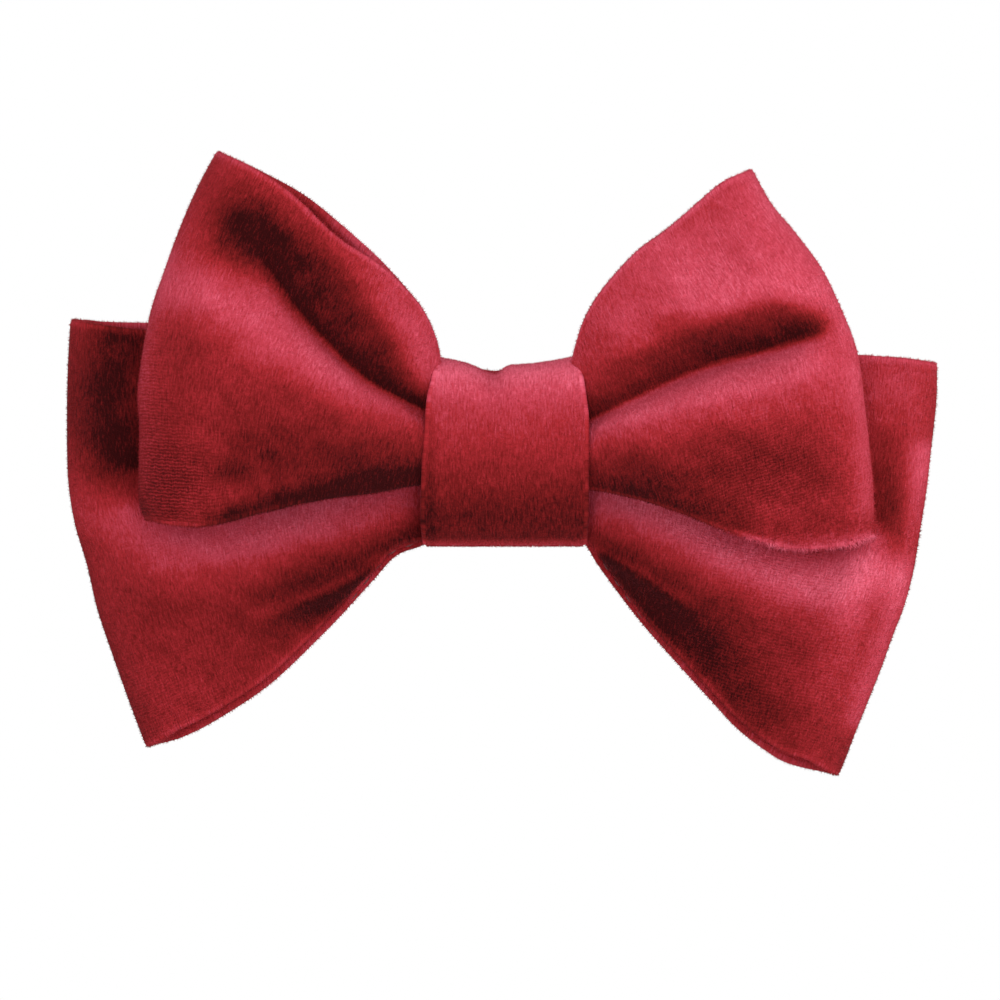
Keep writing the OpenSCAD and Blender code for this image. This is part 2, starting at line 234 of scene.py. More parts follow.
def cotton_velvet(cloth):
    """Cotton velvet: rows of cut tufts over a plain ground. The pile swallows light that falls straight on
    it and throws a pink sheen where it is seen along the fibres; brushing leaves it streaked. Its colour is
    painted light and shade, carried on the mesh, over shaded and lit copies of the velvet red."""
    material, tree = new_material("cut_pile_cotton_velvet")
    uv = add(tree, "ShaderNodeUVMap", {"uv_map": "cloth"}).outputs["UV"]
    # painted light and shade carried on the mesh, with a slow random tone on the back walls
    painted_shading_and_tone = add(tree, "ShaderNodeAttribute", {"attribute_name": "painted_shading_and_tone"}).outputs["Fac"]
    parted = add(tree, "ShaderNodeAttribute", {"attribute_name": "rows"}).outputs["Fac"]
    # hairs of brushed pile, about 0.25 mm wide and 1.3 mm long, in two sets that cross a little
    hairs = []
    for turn in (0.38, -0.16):
        place = add(tree, "ShaderNodeMapping",
                    values={"Scale": (40, 7.5, 1), "Rotation": (0, 0, turn)}, links={0: uv})
        hairs.append(add(tree, "ShaderNodeTexNoise",
                         values={"Scale": 1.0, "Detail": 3.0, "Roughness": 0.6, "Distortion": 0.5},
                         links={0: place.outputs[0]}).outputs["Fac"])
    # clouds where fingers brushed the pile, about 5 mm across
    cloud = add(tree, "ShaderNodeTexNoise", values={"Scale": 1.9, "Detail": 4.0, "Roughness": 0.6},
                links={0: uv}).outputs["Fac"]
    # single tufts, drawn at 0.3 mm: the real ones, at about 0.15 mm, are too fine to show
    tuft = add(tree, "ShaderNodeTexVoronoi", {"feature": "F1"}, {"Scale": 33.0},
               {0: uv}).outputs["Distance"]
    # rows of tufts at their real pitch, wavy as brushing leaves them
    rows_a_unit = MM / MAP_SCALE / cloth.row_pitch
    slanted = add(tree, "ShaderNodeMapping", values={"Rotation": (0, 0, 0.13)}, links={0: uv}).outputs[0]
    rows = add(tree, "ShaderNodeTexWave", {"wave_type": "BANDS", "bands_direction": "Y"},
               {"Scale": ONE_BAND * rows_a_unit, "Distortion": 5.2, "Detail": 3.0, "Detail Scale": 1.9},
               {0: slanted}).outputs["Fac"]
    shown = add(tree, "ShaderNodeMath", {"operation": "MULTIPLY"}, links={0: rows, 1: parted}).outputs[0]

    def sum_of(base, parts):
        """A base with parts added, each a source, its weight and its middle value."""
        for source, weight, middle in parts:
            step = add(tree, "ShaderNodeMath", {"operation": "SUBTRACT"}, {1: middle}, {0: source})
            base = add(tree, "ShaderNodeMath", {"operation": "MULTIPLY_ADD"}, {1: weight},
                       {0: step.outputs[0], 2: base}).outputs[0]
        return base

    # the painted light and shade, with the real hairs, clouds, tufts and rows over it, picks the colour
    painted_shading_and_grain = sum_of(painted_shading_and_tone, ((hairs[0], 0.46, 0.5), (hairs[1], 0.46, 0.5), (cloud, 0.2, 0.5), (tuft, -0.12, 0.4),
                       (shown, 0.26, 0.1)))
    ramp = add(tree, "ShaderNodeValToRGB", links={0: painted_shading_and_grain})
    blend_colours(ramp, lit_and_shaded_pile_colours(cloth))
    height = sum_of(hairs[0], ((hairs[1], 1.0, 0.5), (tuft, -0.5, 0.4), (shown, 0.9, 0.0)))
    bump = add(tree, "ShaderNodeBump", values={"Strength": 0.9, "Distance": 0.3 * MM},
               links={"Height": height})
    return finished(material, ramp, {
        "Roughness": 0.95, "Specular IOR Level": 0.05, "Sheen Weight": 0.09, "Sheen Roughness": 0.4,
        "Sheen Tint": linear(cloth.sheen)}, bump)


def loose_pile(cloth):
    """Single cotton fibres that stand out of the pile: matt, coloured from the painted light and shade of
    the cloth they stand on, a little darker and uneven.
    """
    material, tree = new_material("loose_cotton_pile")
    # painted light and shade of the cloth below the fibres
    painted_shading_and_tone = add(tree, "ShaderNodeAttribute", {"attribute_name": "painted_shading_and_tone"}).outputs["Fac"]
    place = add(tree, "ShaderNodeTexCoord").outputs["Object"]
    # one tone for each millimetre or so
    mixed = add(tree, "ShaderNodeTexNoise", values={"Scale": 900.0, "Detail": 2.0}, links={0: place})
    less = add(tree, "ShaderNodeMath", {"operation": "SUBTRACT"}, {1: 0.7}, {0: mixed.outputs["Fac"]})
    painted_shading_and_grain = add(tree, "ShaderNodeMath", {"operation": "MULTIPLY_ADD"}, {1: 0.5},
              {0: less.outputs[0], 2: painted_shading_and_tone})
    ramp = add(tree, "ShaderNodeValToRGB", links={0: painted_shading_and_grain.outputs[0]})
    blend_colours(ramp, lit_and_shaded_pile_colours(cloth))
    return finished(material, ramp, {
        "Roughness": 0.9, "Specular IOR Level": 0.05, "Sheen Weight": 0.08,
        "Sheen Tint": linear(cloth.sheen)})


def woven_canvas(cloth):
    """Cotton interlining canvas, plain woven: a pale matt grid of threads 0.5 mm apart."""
    material, tree = new_material("plain_woven_canvas")
    place = add(tree, "ShaderNodeTexCoord").outputs["Object"]
    across, up = (add(tree, "ShaderNodeTexWave", {"bands_direction": way},
                      {"Scale": ONE_BAND / (0.5 * MM), "Distortion": 0.5}, {0: place}) for way in "XZ")
    grid = add(tree, "ShaderNodeMath", {"operation": "MULTIPLY"},
               links={0: across.outputs["Fac"], 1: up.outputs["Fac"]})
    ramp = add(tree, "ShaderNodeValToRGB", links={0: grid.outputs[0]})
    blend_colours(ramp, ((0.0, darker(cloth.canvas, 0.7)), (1.0, cloth.canvas)))
    bump = add(tree, "ShaderNodeBump", values={"Strength": 0.5, "Distance": 0.1 * MM},
               links={"Height": grid.outputs[0]})
    return finished(material, ramp, {"Roughness": 0.9}, bump)


def spun_thread(cloth):
    """Polyester sewing thread, spun and twisted: a soft lustre, with slanting twist lines 0.3 mm apart."""
    material, tree = new_material("spun_polyester_thread")
    place = add(tree, "ShaderNodeTexCoord").outputs["Object"]
    turn = add(tree, "ShaderNodeMapping", values={"Rotation": (0.5, 0.6, 0.7)}, links={0: place})
    twist = add(tree, "ShaderNodeTexWave", {"bands_direction": "X"},
                {"Scale": ONE_BAND / (0.3 * MM), "Distortion": 0.5}, {0: turn.outputs[0]}).outputs["Fac"]
    ramp = add(tree, "ShaderNodeValToRGB", links={0: twist})
    blend_colours(ramp, ((0.0, darker(cloth.thread, 0.7)), (1.0, cloth.thread)))
    bump = add(tree, "ShaderNodeBump", values={"Strength": 0.4, "Distance": 0.05 * MM},
               links={"Height": twist})
    return finished(material, ramp, {"Roughness": 0.5}, bump)


def worn_metal(name, colour, stretch, dull_from, dull_to):
    """A metal whose colour and roughness follow fine rub marks drawn along X."""
    material, tree = new_material(name)
    place = add(tree, "ShaderNodeTexCoord").outputs["Object"]
    along = add(tree, "ShaderNodeMapping", values={"Scale": stretch}, links={0: place})
    rub = add(tree, "ShaderNodeTexNoise", values={"Scale": 1.0, "Detail": 4.0},
              links={0: along.outputs[0]})
    cloud = add(tree, "ShaderNodeTexNoise", values={"Scale": 350.0, "Detail": 3.0}, links={0: place})
    dull = add(tree, "ShaderNodeMapRange", values={"To Min": dull_from, "To Max": dull_to},
               links={0: rub.outputs["Fac"]})
    ramp = add(tree, "ShaderNodeValToRGB", links={0: cloud.outputs["Fac"]})
    blend_colours(ramp, ((0.3, darker(colour, 0.92)), (0.6, colour)))
    bump = add(tree, "ShaderNodeBump", values={"Strength": 0.06, "Distance": 0.03 * MM},
               links={"Height": rub.outputs["Fac"]})
    return finished(material, ramp, {"Metallic": 1.0}, bump, dull)


def nickel_plate(metal):
    """Nickel-plated mild steel, stamped and barrel polished: bright, faintly warm, with fine rub marks."""
    return worn_metal("barrel_polished_nickel_plate", metal.nickel, (300, 2500, 2500), 0.18, 0.36)


def drawn_wire(metal):
    """Hard drawn spring wire: grey steel with long die lines and a trace of oil."""
    return worn_metal("hard_drawn_spring_wire", metal.wire, (500, 3000, 3000), 0.26, 0.48)


def get_material(name, maker, *args):
    """The material of that name, made the first time it is asked for."""
    return bpy.data.materials.get(name) or maker(*args)


def velvet():
    """The velvet of every outer ply and lining."""
    return get_material("cut_pile_cotton_velvet", cotton_velvet, bpy.context.scene.bow_cloth)


def canvas():
    """The interlining canvas."""
    return get_material("plain_woven_canvas", woven_canvas, bpy.context.scene.bow_cloth)


def thread():
    """The sewing thread."""
    return get_material("spun_polyester_thread", spun_thread, bpy.context.scene.bow_cloth)


# ---------------------------------------------------------------- node trees for fibres and threads

def new_tree(name, inputs):
    """A geometry node tree with named inputs, and its input and output nodes."""
    tree = bpy.data.node_groups.new(name, "GeometryNodeTree")
    tree.interface.new_socket("Geometry", in_out="INPUT", socket_type="NodeSocketGeometry")
    for key, kind in inputs.items():
        tree.interface.new_socket(key, in_out="INPUT", socket_type="NodeSocket" + kind)
    tree.interface.new_socket("Geometry", in_out="OUTPUT", socket_type="NodeSocketGeometry")
    return tree, add(tree, "NodeGroupInput").outputs


def close_tree(tree, source, made):
    """Ends a tree in plain mesh with its material."""
    real = add(tree, "GeometryNodeRealizeInstances", links={0: made})
    done = add(tree, "GeometryNodeSetMaterial",
               links={0: real.outputs[0], "Material": source["Material"]})
    add(tree, "NodeGroupOutput", links={0: done.outputs[0]})
    return tree


def pile_tree():
    """Three-sided fibres scattered over a face, leaning every way, longer where it frays."""
    tree, source = new_tree("standing_pile", {
        "Density": "Float", "Length": "Float", "Thickness": "Float", "Seed": "Int",
        "Least Lean": "Vector", "Most Lean": "Vector", "Material": "Material"})
    spread = add(tree, "GeometryNodeDistributePointsOnFaces",
                 links={0: source["Geometry"], "Density": source["Density"], "Seed": source["Seed"]})
    fibre = add(tree, "GeometryNodeMeshCone", {"fill_type": "NONE"},
                {"Vertices": 3, "Radius Top": 0.0},
                {"Radius Bottom": source["Thickness"], "Depth": source["Length"]})
    lean = add(tree, "FunctionNodeRandomValue", {"data_type": "FLOAT_VECTOR"},
               links={0: source["Least Lean"], 1: source["Most Lean"], "Seed": source["Seed"]})
    turned = add(tree, "FunctionNodeRotateRotation", {"rotation_space": "LOCAL"},
                 links={0: spread.outputs["Rotation"], 1: lean.outputs[0]})
    size = add(tree, "FunctionNodeRandomValue", {"data_type": "FLOAT"}, {2: 0.45, 3: 1.0},
               {"Seed": source["Seed"]})
    fray = add(tree, "GeometryNodeInputNamedAttribute", {"data_type": "FLOAT"}, {"Name": "fray"})
    longer = add(tree, "ShaderNodeMath", {"operation": "MULTIPLY_ADD"}, {1: 2.6, 2: 1.0},
                 {0: fray.outputs[0]})
    tall = add(tree, "ShaderNodeMath", {"operation": "MULTIPLY"},
               links={0: size.outputs[1], 1: longer.outputs[0]})
    thicker = add(tree, "ShaderNodeMath", {"operation": "MULTIPLY_ADD"}, {1: 1.2, 2: 1.0},
                  {0: fray.outputs[0]})
    scale = add(tree, "ShaderNodeCombineXYZ",
                links={0: thicker.outputs[0], 1: thicker.outputs[0], 2: tall.outputs[0]})
    fibres = add(tree, "GeometryNodeInstanceOnPoints",
                 links={"Points": spread.outputs[0], "Instance": fibre.outputs[0],
                        "Rotation": turned.outputs[0], "Scale": scale.outputs[0]})
    return close_tree(tree, source, fibres.outputs[0])


def stitch_tree():
    """Short rounded stitches set along a line at an even pitch."""
    tree, source = new_tree("row_of_stitches", {"Pitch": "Float", "Long": "Float", "Radius": "Float",
                                                "Slant": "Vector", "Material": "Material"})
    line = add(tree, "GeometryNodeMeshToCurve", links={0: source["Geometry"]})
    spaced = add(tree, "GeometryNodeResampleCurve", {"mode": "LENGTH"},
                 links={"Curve": line.outputs[0], "Length": source["Pitch"]})
    grain = add(tree, "GeometryNodeMeshUVSphere", values={"Segments": 8, "Rings": 6, "Radius": 1.0})
    along = add(tree, "GeometryNodeInputTangent")
    facing = add(tree, "FunctionNodeAlignRotationToVector", {"axis": "X"},
                 links={"Vector": along.outputs[0]})
    slanted = add(tree, "FunctionNodeRotateRotation", {"rotation_space": "LOCAL"},
                  links={0: facing.outputs[0], 1: source["Slant"]})
    half = add(tree, "ShaderNodeMath", {"operation": "MULTIPLY"}, {1: 0.5}, {0: source["Long"]})
    scale = add(tree, "ShaderNodeCombineXYZ",
                links={0: half.outputs[0], 1: source["Radius"], 2: source["Radius"]})
    row = add(tree, "GeometryNodeInstanceOnPoints",
              links={"Points": spaced.outputs[0], "Instance": grain.outputs[0],
                     "Rotation": slanted.outputs[0], "Scale": scale.outputs[0]})
    return close_tree(tree, source, row.outputs[0])


def run_tree():
    """A round thread or wire along each line of a mesh."""
    tree, source = new_tree("run_of_thread", {"Radius": "Float", "Material": "Material"})
    line = add(tree, "GeometryNodeMeshToCurve", links={0: source["Geometry"]})
    ring = add(tree, "GeometryNodeCurvePrimitiveCircle", values={"Resolution": 10},
               links={"Radius": source["Radius"]})
    tube = add(tree, "GeometryNodeCurveToMesh", values={"Fill Caps": True},
               links={"Curve": line.outputs[0], "Profile Curve": ring.outputs[0]})
    return close_tree(tree, source, tube.outputs[0])


def grown(base, tree, values, body=BODY, node=None):
    """The plain mesh that a node tree grows on a base object, which goes away."""
    growth = base.modifiers.new("growth", "NODES")
    growth.node_group = tree
    for item in tree.interface.items_tree:
        if item.name in values:
            growth[item.identifier] = values[item.name]
    graph = bpy.context.evaluated_depsgraph_get()
    mesh = bpy.data.meshes.new_from_object(base.evaluated_get(graph), preserve_all_data_layers=True,
                                           depsgraph=graph)
    mesh.polygons.foreach_set("use_smooth", np.ones(len(mesh.polygons), bool))
    name = base.name
    base.modifiers.remove(growth)
    bpy.data.objects.remove(base)
    obj = placed(name, mesh)
    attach(obj, body)
    if node:
        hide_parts(node)
    return obj


def lines_object(name, lines):
    """Open lines as a mesh of edges."""
    verts, edges = [], []
    for line in lines:
        edges += [(len(verts) + i, len(verts) + i + 1) for i in range(len(line) - 1)]
        verts += [tuple(float(c) * MM for c in point) for point in line]
    mesh = bpy.data.meshes.new(name)
    mesh.from_pydata(verts, edges, [])
    return placed(name, mesh)


def tree_named(name, maker):
    """The node tree of that name, made the first time it is asked for."""
    return bpy.data.node_groups.get(name) or maker()


def stitch_row(node, line, pitch, long, slant=0.0):
    """A row of stitches that stands for a CAD seam."""
    return grown(lines_object(node + "_sewn", [line]), tree_named("row_of_stitches", stitch_tree), {
        "Pitch": pitch * MM, "Long": long * MM, "Radius": THREAD_R * MM, "Slant": (0, slant, 0),
        "Material": thread()}, node=node)


def thread_run(node, lines, material, radius, body=BODY, name=None):
    """Round thread or wire along lines, which stands for a CAD node."""
    return grown(lines_object(name or node + "_sewn", lines), tree_named("run_of_thread", run_tree),
                 {"Radius": radius * MM, "Material": material}, body, node)


# ---------------------------------------------------------------- the two bows

# Each loop seen from the front, in millimetres across and up from the middle of the knot.
# top and bottom run outwards from under the knot, and outer runs upwards.
# creases and ridges: points, height at the start, middle and end, softness above, softness below.
# painted_strokes: painted light and shade in strokes: points, tone (one, or at the start, middle and end),
# softness above, softness below. Up is a painted highlight, down a painted shade.
# peep_at: share of the loop where its two top edges part most. front_dip: how far the front one drops
# there. back_top: how far the back one rises there. back_bottom: height of the back wall's bottom edge
# over the front one's.
FRONT_LEFT = {
    "side": -1,
    "top": [(-9.0, 9.6), (-10.0, 16.2), (-12.1, 21.1), (-15.0, 24.8), (-19.2, 29.2), (-25.0, 34.1),
            (-31.0, 38.9), (-37.5, 42.7), (-43.4, 45.3)],
    "bottom": [(-9.0, -4.6), (-12.5, -4.4), (-19.2, -5.6), (-27.7, -6.7), (-36.1, -8.5), (-44.5, -10.6),
               (-50.0, -10.5), (-54.2, -9.7)],
    "outer": [(-54.2, -9.7), (-55.0, -6.0), (-54.9, 3.8), (-55.1, 10.0), (-53.4, 20.6), (-51.2, 27.4),
              (-48.8, 34.0), (-46.2, 40.0), (-43.4, 45.3)],
    "creases": [
        ([(-9.0, 4.9), (-11.7, 6.3), (-21.3, 11.4), (-27.7, 17.6), (-31.9, 22.3), (-34.8, 27.0),
          (-36.4, 31.5)], (-3.6, -5.4, -0.6), 3.8, 2.2),
    ],
    "ridges": [
        ([(-12.0, 12.0), (-17.0, 19.5), (-24.0, 27.0), (-31.0, 34.0)], (0.8, 1.0, 0.2), 4.0, 4.5),
        ([(-32.0, 23.0), (-38.0, 28.5), (-44.0, 32.0)], (-0.6, -1.9, -0.6), 5.5, 4.5),
        ([(-12.0, 3.2), (-24.0, 9.0), (-34.0, 13.5), (-46.0, 22.0)], (0.8, 2.2, 1.4), 4.5, 9.0),
        ([(-34.3, -8.0), (-34.6, -4.0), (-35.0, 0.5)], (-0.8, -0.9, 0.0), 1.3, 1.3),
        ([(-44.0, -7.0), (-41.0, -5.0), (-37.0, -3.5)], (-0.3, -1.2, -0.3), 3.0, 3.0),
    ],
    "painted_strokes": [
        ([(-48.0, 24.0), (-42.0, 21.0), (-36.0, 16.0), (-28.0, 12.4), (-18.0, 7.6), (-12.0, 4.6)],
         (0.2, 0.08, -0.05), 3.0, 5.0),
        ([(-10.0, 5.6), (-20.0, 10.8), (-26.0, 16.3), (-31.0, 21.0), (-34.0, 25.5), (-36.0, 31.0)],
         (-0.26, -0.26, -0.08), 2.4, 1.3),
        ([(-18.0, 16.0), (-26.0, 25.0), (-32.0, 31.0), (-37.0, 35.0)], -0.24, 4.6, 4.4),
        ([(-31.0, 25.0), (-37.5, 29.5), (-45.0, 30.0)], (-0.1, -0.16, -0.08), 6.0, 4.0),
        ([(-40.0, -9.0), (-26.0, -6.5), (-12.0, -4.6)], (-0.26, -0.2, -0.22), 5.5, 3.0),
        ([(-11.0, 11.0), (-14.0, 17.0), (-18.0, 21.5)], (0.3, 0.36, 0.2), 3.6, 3.6),
        ([(-44.0, -10.8), (-30.0, -7.2), (-12.0, -4.6)], -0.20, 1.6, 2.0),
        ([(-52.0, -4.0), (-38.0, 0.0), (-25.0, -1.5), (-12.0, -2.0)], -0.17, 7.0, 7.0),
        ([(-45.0, 42.0), (-40.0, 34.0)], -0.20, 5.0, 5.0),
        ([(-54.5, -5.0), (-54.5, 12.0), (-50.0, 30.0)], 0.10, 1.2, 1.2),
        ([(-52.0, -8.0), (-52.0, 5.0), (-50.0, 16.0)], -0.14, 5.0, 5.0),
    ],
    "peep_at": 0.60,
    "front_dip": 1.9,
    "back_top": 0.5,
    "back_bottom": 0.0,
}
FRONT_RIGHT = {
    "side": 1,
    "top": [(9.0, 9.6), (10.4, 15.6), (11.9, 20.0), (14.6, 24.4), (19.6, 30.0), (24.2, 33.5),
            (28.5, 37.1), (32.4, 40.4), (37.2, 42.6)],
    "bottom": [(9.0, -4.9), (12.7, -5.1), (19.6, -6.6), (26.4, -8.7), (31.4, -10.7), (36.9, -12.5),
               (43.2, -14.1), (50.5, -13.7), (55.4, -12.0)],
    "outer": [(55.4, -12.0), (55.4, -7.5), (55.0, -1.3), (54.1, 7.1), (53.3, 13.4), (52.2, 17.6),
              (50.1, 22.7), (47.6, 27.8), (43.8, 33.0), (40.0, 37.6), (37.2, 42.6)],
    "creases": [
        ([(9.0, 3.4), (12.5, 4.9), (18.8, 7.9), (25.1, 10.8), (31.8, 13.3), (37.7, 14.8), (42.0, 16.0),
          (49.5, 18.6)], (-3.4, -5.4, -3.0), 4.2, 2.0),
    ],
    "ridges": [
        ([(14.0, 13.0), (24.0, 18.0), (36.0, 22.5), (47.0, 24.0)], (0.5, 2.4, 2.0), 8.0, 3.2),
        ([(14.0, 1.5), (26.0, 6.0), (38.0, 9.0), (48.0, 11.0)], (0.6, 2.0, 1.4), 4.0, 9.0),
    ],
    "painted_strokes": [
        ([(12.0, 12.0), (20.0, 24.0), (30.0, 32.0), (37.0, 40.0)], 0.14, 8.0, 8.0),
        ([(30.0, 22.0), (41.0, 24.0), (49.0, 24.5)], 0.28, 5.0, 3.0),
        ([(10.0, 4.0), (18.8, 7.9), (31.8, 13.8), (40.0, 16.5), (46.5, 18.6)],
         (-0.24, -0.1, -0.24), 2.6, 1.3),
        ([(12.0, 2.2), (25.0, 7.2), (35.0, 10.4), (49.0, 12.5)], (0.05, 0.1, 0.12), 2.8, 6.0),
        ([(14.0, -3.0), (29.0, -3.5), (45.0, -3.0)], (-0.08, -0.16, -0.18), 6.0, 7.0),
        ([(12.0, -5.0), (22.0, -7.5), (34.0, -11.0)], (-0.14, -0.2, -0.26), 3.5, 2.0),
        ([(32.0, -12.5), (43.0, -14.0), (54.0, -12.8)], 0.22, 1.6, 1.6),
        ([(54.0, -8.0), (53.5, 6.0), (50.0, 24.0)], 0.16, 1.8, 1.8),
    ],
    "peep_at": 0.5,
    "front_dip": 0.0,
    "back_top": 0.0,
    "back_bottom": 0.0,
}
REAR_LEFT = {
    "side": -1,
    "top": [(-9.0, 7.0), (-25.0, 13.5), (-42.0, 18.0), (-54.0, 18.6), (-60.0, 19.2), (-65.6, 20.0)],
    "bottom": [(-9.0, -10.4), (-12.0, -13.3), (-16.3, -15.1), (-20.0, -19.0), (-27.6, -27.0),
               (-35.6, -34.6), (-43.2, -39.7), (-49.0, -42.6), (-54.2, -44.0)],
    "outer": [(-54.2, -44.0), (-56.5, -37.9), (-59.1, -30.6), (-61.5, -23.4), (-63.1, -16.6),
              (-64.9, -10.5), (-65.9, -4.0), (-66.1, 3.8), (-66.0, 12.0), (-65.6, 20.0)],
    "creases": [
        ([(-9.0, -1.0), (-25.0, -3.0), (-42.0, -4.0), (-58.0, -2.0)], (-0.4, -2.4, -1.2), 5.0, 5.0),
    ],
    "ridges": [
        ([(-12.0, -8.6), (-28.0, -13.5), (-44.0, -17.0), (-60.0, -15.5)], (1.0, 3.6, 1.9), 6.2, 8.5),
        ([(-18.0, -16.2), (-25.0, -20.3), (-31.6, -22.8), (-38.4, -26.0)], (0.7, 0.8, 0.0), 1.1, 1.4),
        ([(-22.0, -22.0), (-30.0, -27.0), (-37.0, -32.0)], (-0.8, -0.9, 0.0), 2.6, 2.6),
    ],
    "painted_strokes": [
        ([(-12.0, -5.0), (-28.0, -9.0), (-42.0, -13.0), (-56.0, -10.0), (-64.0, -8.0)], 0.17, 6.0, 5.0),
        ([(-14.0, -6.5), (-28.0, -8.5), (-44.0, -12.5), (-54.0, -12.0)], -0.08, 3.4, 3.4),
        ([(-12.0, -12.0), (-20.0, -15.5), (-28.0, -18.5), (-38.0, -22.5)], (-0.28, -0.22, -0.04), 3.5, 6.0),
        ([(-57.0, 20.0), (-60.0, 8.0), (-58.0, -1.0)], -0.46, 6.5, 7.0),
        ([(-22.0, -24.0), (-35.0, -31.0), (-48.0, -36.0)], -0.06, 9.0, 9.0),
    ],
    "peep_at": 0.78,
    "front_dip": 0.0,
    "back_top": 1.1,
    "back_bottom": -1.4,
}
REAR_RIGHT = {
    "side": 1,
    "top": [(9.0, 7.0), (30.0, 12.0), (48.0, 14.6), (58.0, 14.5), (65.2, 13.6)],
    "bottom": [(9.0, -10.4), (12.0, -13.4), (14.0, -16.6), (17.8, -21.7), (22.4, -27.3), (31.2, -37.0),
               (35.0, -41.1), (39.0, -44.3), (43.0, -46.6), (50.4, -48.3)],
    "outer": [(50.4, -48.3), (51.6, -45.4), (53.0, -41.7), (56.5, -33.0), (58.4, -27.7), (60.3, -22.7),
              (61.7, -17.3), (62.6, -11.8), (63.6, -5.5), (64.3, 0.8), (65.1, 8.0), (65.2, 13.6)],
    "creases": [
        ([(9.0, -1.0), (30.0, -5.5), (45.0, -9.0), (53.0, -9.5), (62.5, -14.5)],
         (-0.4, -2.2, -1.6), 4.5, 3.0),
    ],
    "ridges": [
        ([(12.0, -8.0), (24.0, -13.0), (35.0, -18.0), (46.0, -21.5), (55.0, -20.0)],
         (1.0, 3.7, 1.8), 6.2, 8.0),
        ([(56.0, -17.0), (52.0, -24.5), (49.6, -31.0), (46.0, -40.0)], (1.4, 2.0, 0.6), 5.0, 5.0),
        ([(14.0, -15.0), (19.7, -18.1), (29.7, -24.6)], (0.8, 0.9, 0.0), 1.0, 1.2),
        ([(15.0, -18.5), (24.0, -26.0), (34.0, -36.0)], (-1.0, -1.4, -0.2), 3.0, 3.0),
    ],
    "painted_strokes": [
        ([(58.0, -14.0), (53.0, -23.0), (50.0, -31.0), (47.0, -38.0)], (0.1, 0.24, 0.05), 3.2, 3.2),
        ([(12.0, -6.0), (24.0, -10.5), (38.0, -17.5), (50.0, -20.0), (56.0, -18.0)], 0.24, 5.0, 4.5),
        ([(14.0, -7.5), (26.0, -11.0), (37.0, -14.5), (48.0, -16.5)], -0.08, 3.2, 3.2),
        ([(15.0, -18.0), (27.0, -28.5), (39.0, -38.5)], (-0.3, -0.42, -0.26), 6.0, 6.0),
        ([(57.0, 5.0), (58.0, -5.0), (59.5, -13.5)], (-0.1, -0.26, -0.34), 3.4, 3.0),
        ([(63.0, 0.0), (59.5, -21.0), (53.0, -40.0)], 0.34, 2.2, 2.2),
        ([(60.0, 10.0), (59.0, 2.0)], 0.10, 6.0, 6.0),
    ],
    "peep_at": 0.5,
    "front_dip": 0.0,
    "back_top": -1.0,
    "back_bottom": -1.5,
}

# Each bow: its middle plane in the knot and in the loops, how far its walls open from that plane, the
# waist's bottom and top edge, loose fibres a square metre, and the cap on its painted highlights
FRONT_BOW = {
    "name": "front_bow", "loops": (FRONT_LEFT, FRONT_RIGHT), "waist_y": -16.4, "loop_y": -19.6,
    "front_open": 5.6, "back_open": 5.4, "waist_open": 3.9, "waist": (-4.6, 9.6), "density": 4.4e6,
    "painted_highlight_cap": 0.82,
}
REAR_BOW = {
    "name": "rear_bow", "loops": (REAR_LEFT, REAR_RIGHT), "waist_y": -7.6, "loop_y": -6.6,
    "front_open": 5.4, "back_open": 6.4, "waist_open": 3.9, "waist": (-10.4, 7.0), "density": 3.8e6,
    "painted_highlight_cap": 0.96,
}

# Spots where the pile parts and shows its rows: middle across and up, reach across and up, how far
FRONT_PARTED = ((-50, -5, 6, 8, 1.0), (-53.5, 8, 2.5, 12, 0.6), (40, -4, 13, 9, 0.5))
REAR_PARTED = ((40, -32, 16, 14, 0.4), (-52, -38, 10, 9, 0.3))
# Spots where the pile frays, in the same form: the front right corner and the edge beside it
FRAYED = ((52, -12, 7, 3, 1.0), (39, -13, 9, 2.5, 0.8))

WAIST_HALF = 9.0        # where the loops start, from the middle of the knot, mm
EDGE_ALLOWANCE = 0.009  # share of the width that the turned edges take up again
PEEP_REACH = 0.17       # share of a loop over which its top edges part
OPENS_BY = 0.35         # share of a loop by which its walls are fully open
LEANS_BY = 0.4          # share of a loop by which it has reached its own plane
CREASE_BLUNT = 0.25     # radius left at the bottom of a crease, mm
CROWN = 1.3             # how far the middle of a front wall stands forward of its edges, mm
BACK_CROWN = 0.8        # the same for a back wall
INSIDE_SHADE = 0.2       # painted shade: how much darker the lining inside a loop is coloured
RIM_HIGHLIGHT = 0.16         # painted highlight: how much brighter the pile is coloured on a turned edge
UP_FACING_HIGHLIGHT = 0.45         # painted highlight and shade: how much brighter the pile is coloured where the cloth faces up, and darker where it faces down
DEEPEST_SHADE = 0.02          # the darkest that the painted shade can go
PILE_LENGTH = 0.45      # loose fibres over the face, mm
PILE_THICK = 0.05       # radius at the root, mm
PILE_SEED = 7
EDGE_PILE = 0.42        # fibres on the turned edges, mm
EDGE_DENSITY = 1.2e7    # fibres a square metre there
THREAD_R = 0.17         # radius of the sewing thread, mm
SEAM_SINK = 0.2         # how far a slip stitch lies out from the flat part of the ply, mm
WAIST_COLUMNS = 8       # columns from the middle of the knot to the start of a loop
WALL_COLUMNS = 76       # columns along one wall of a loop
FOLD_COLUMNS = 15       # columns round an outer fold
CLOTH_ROWS = 76         # rows across the strip
ROLL_ROWS = 6           # rows round a turned edge
CANVAS_INSET = 3        # rows that the interlining lies in from the edge
FOLD_SHARE = 0.10       # share of a loop's length in its outer fold
JOIN_GAP = 0.6          # gap between the strip's ends, at the centre back, mm
CURVE_STEPS = 160       # places along a crease, ridge or stroke
TURN_STEPS = 24         # straight pieces in one turn of thread or wire


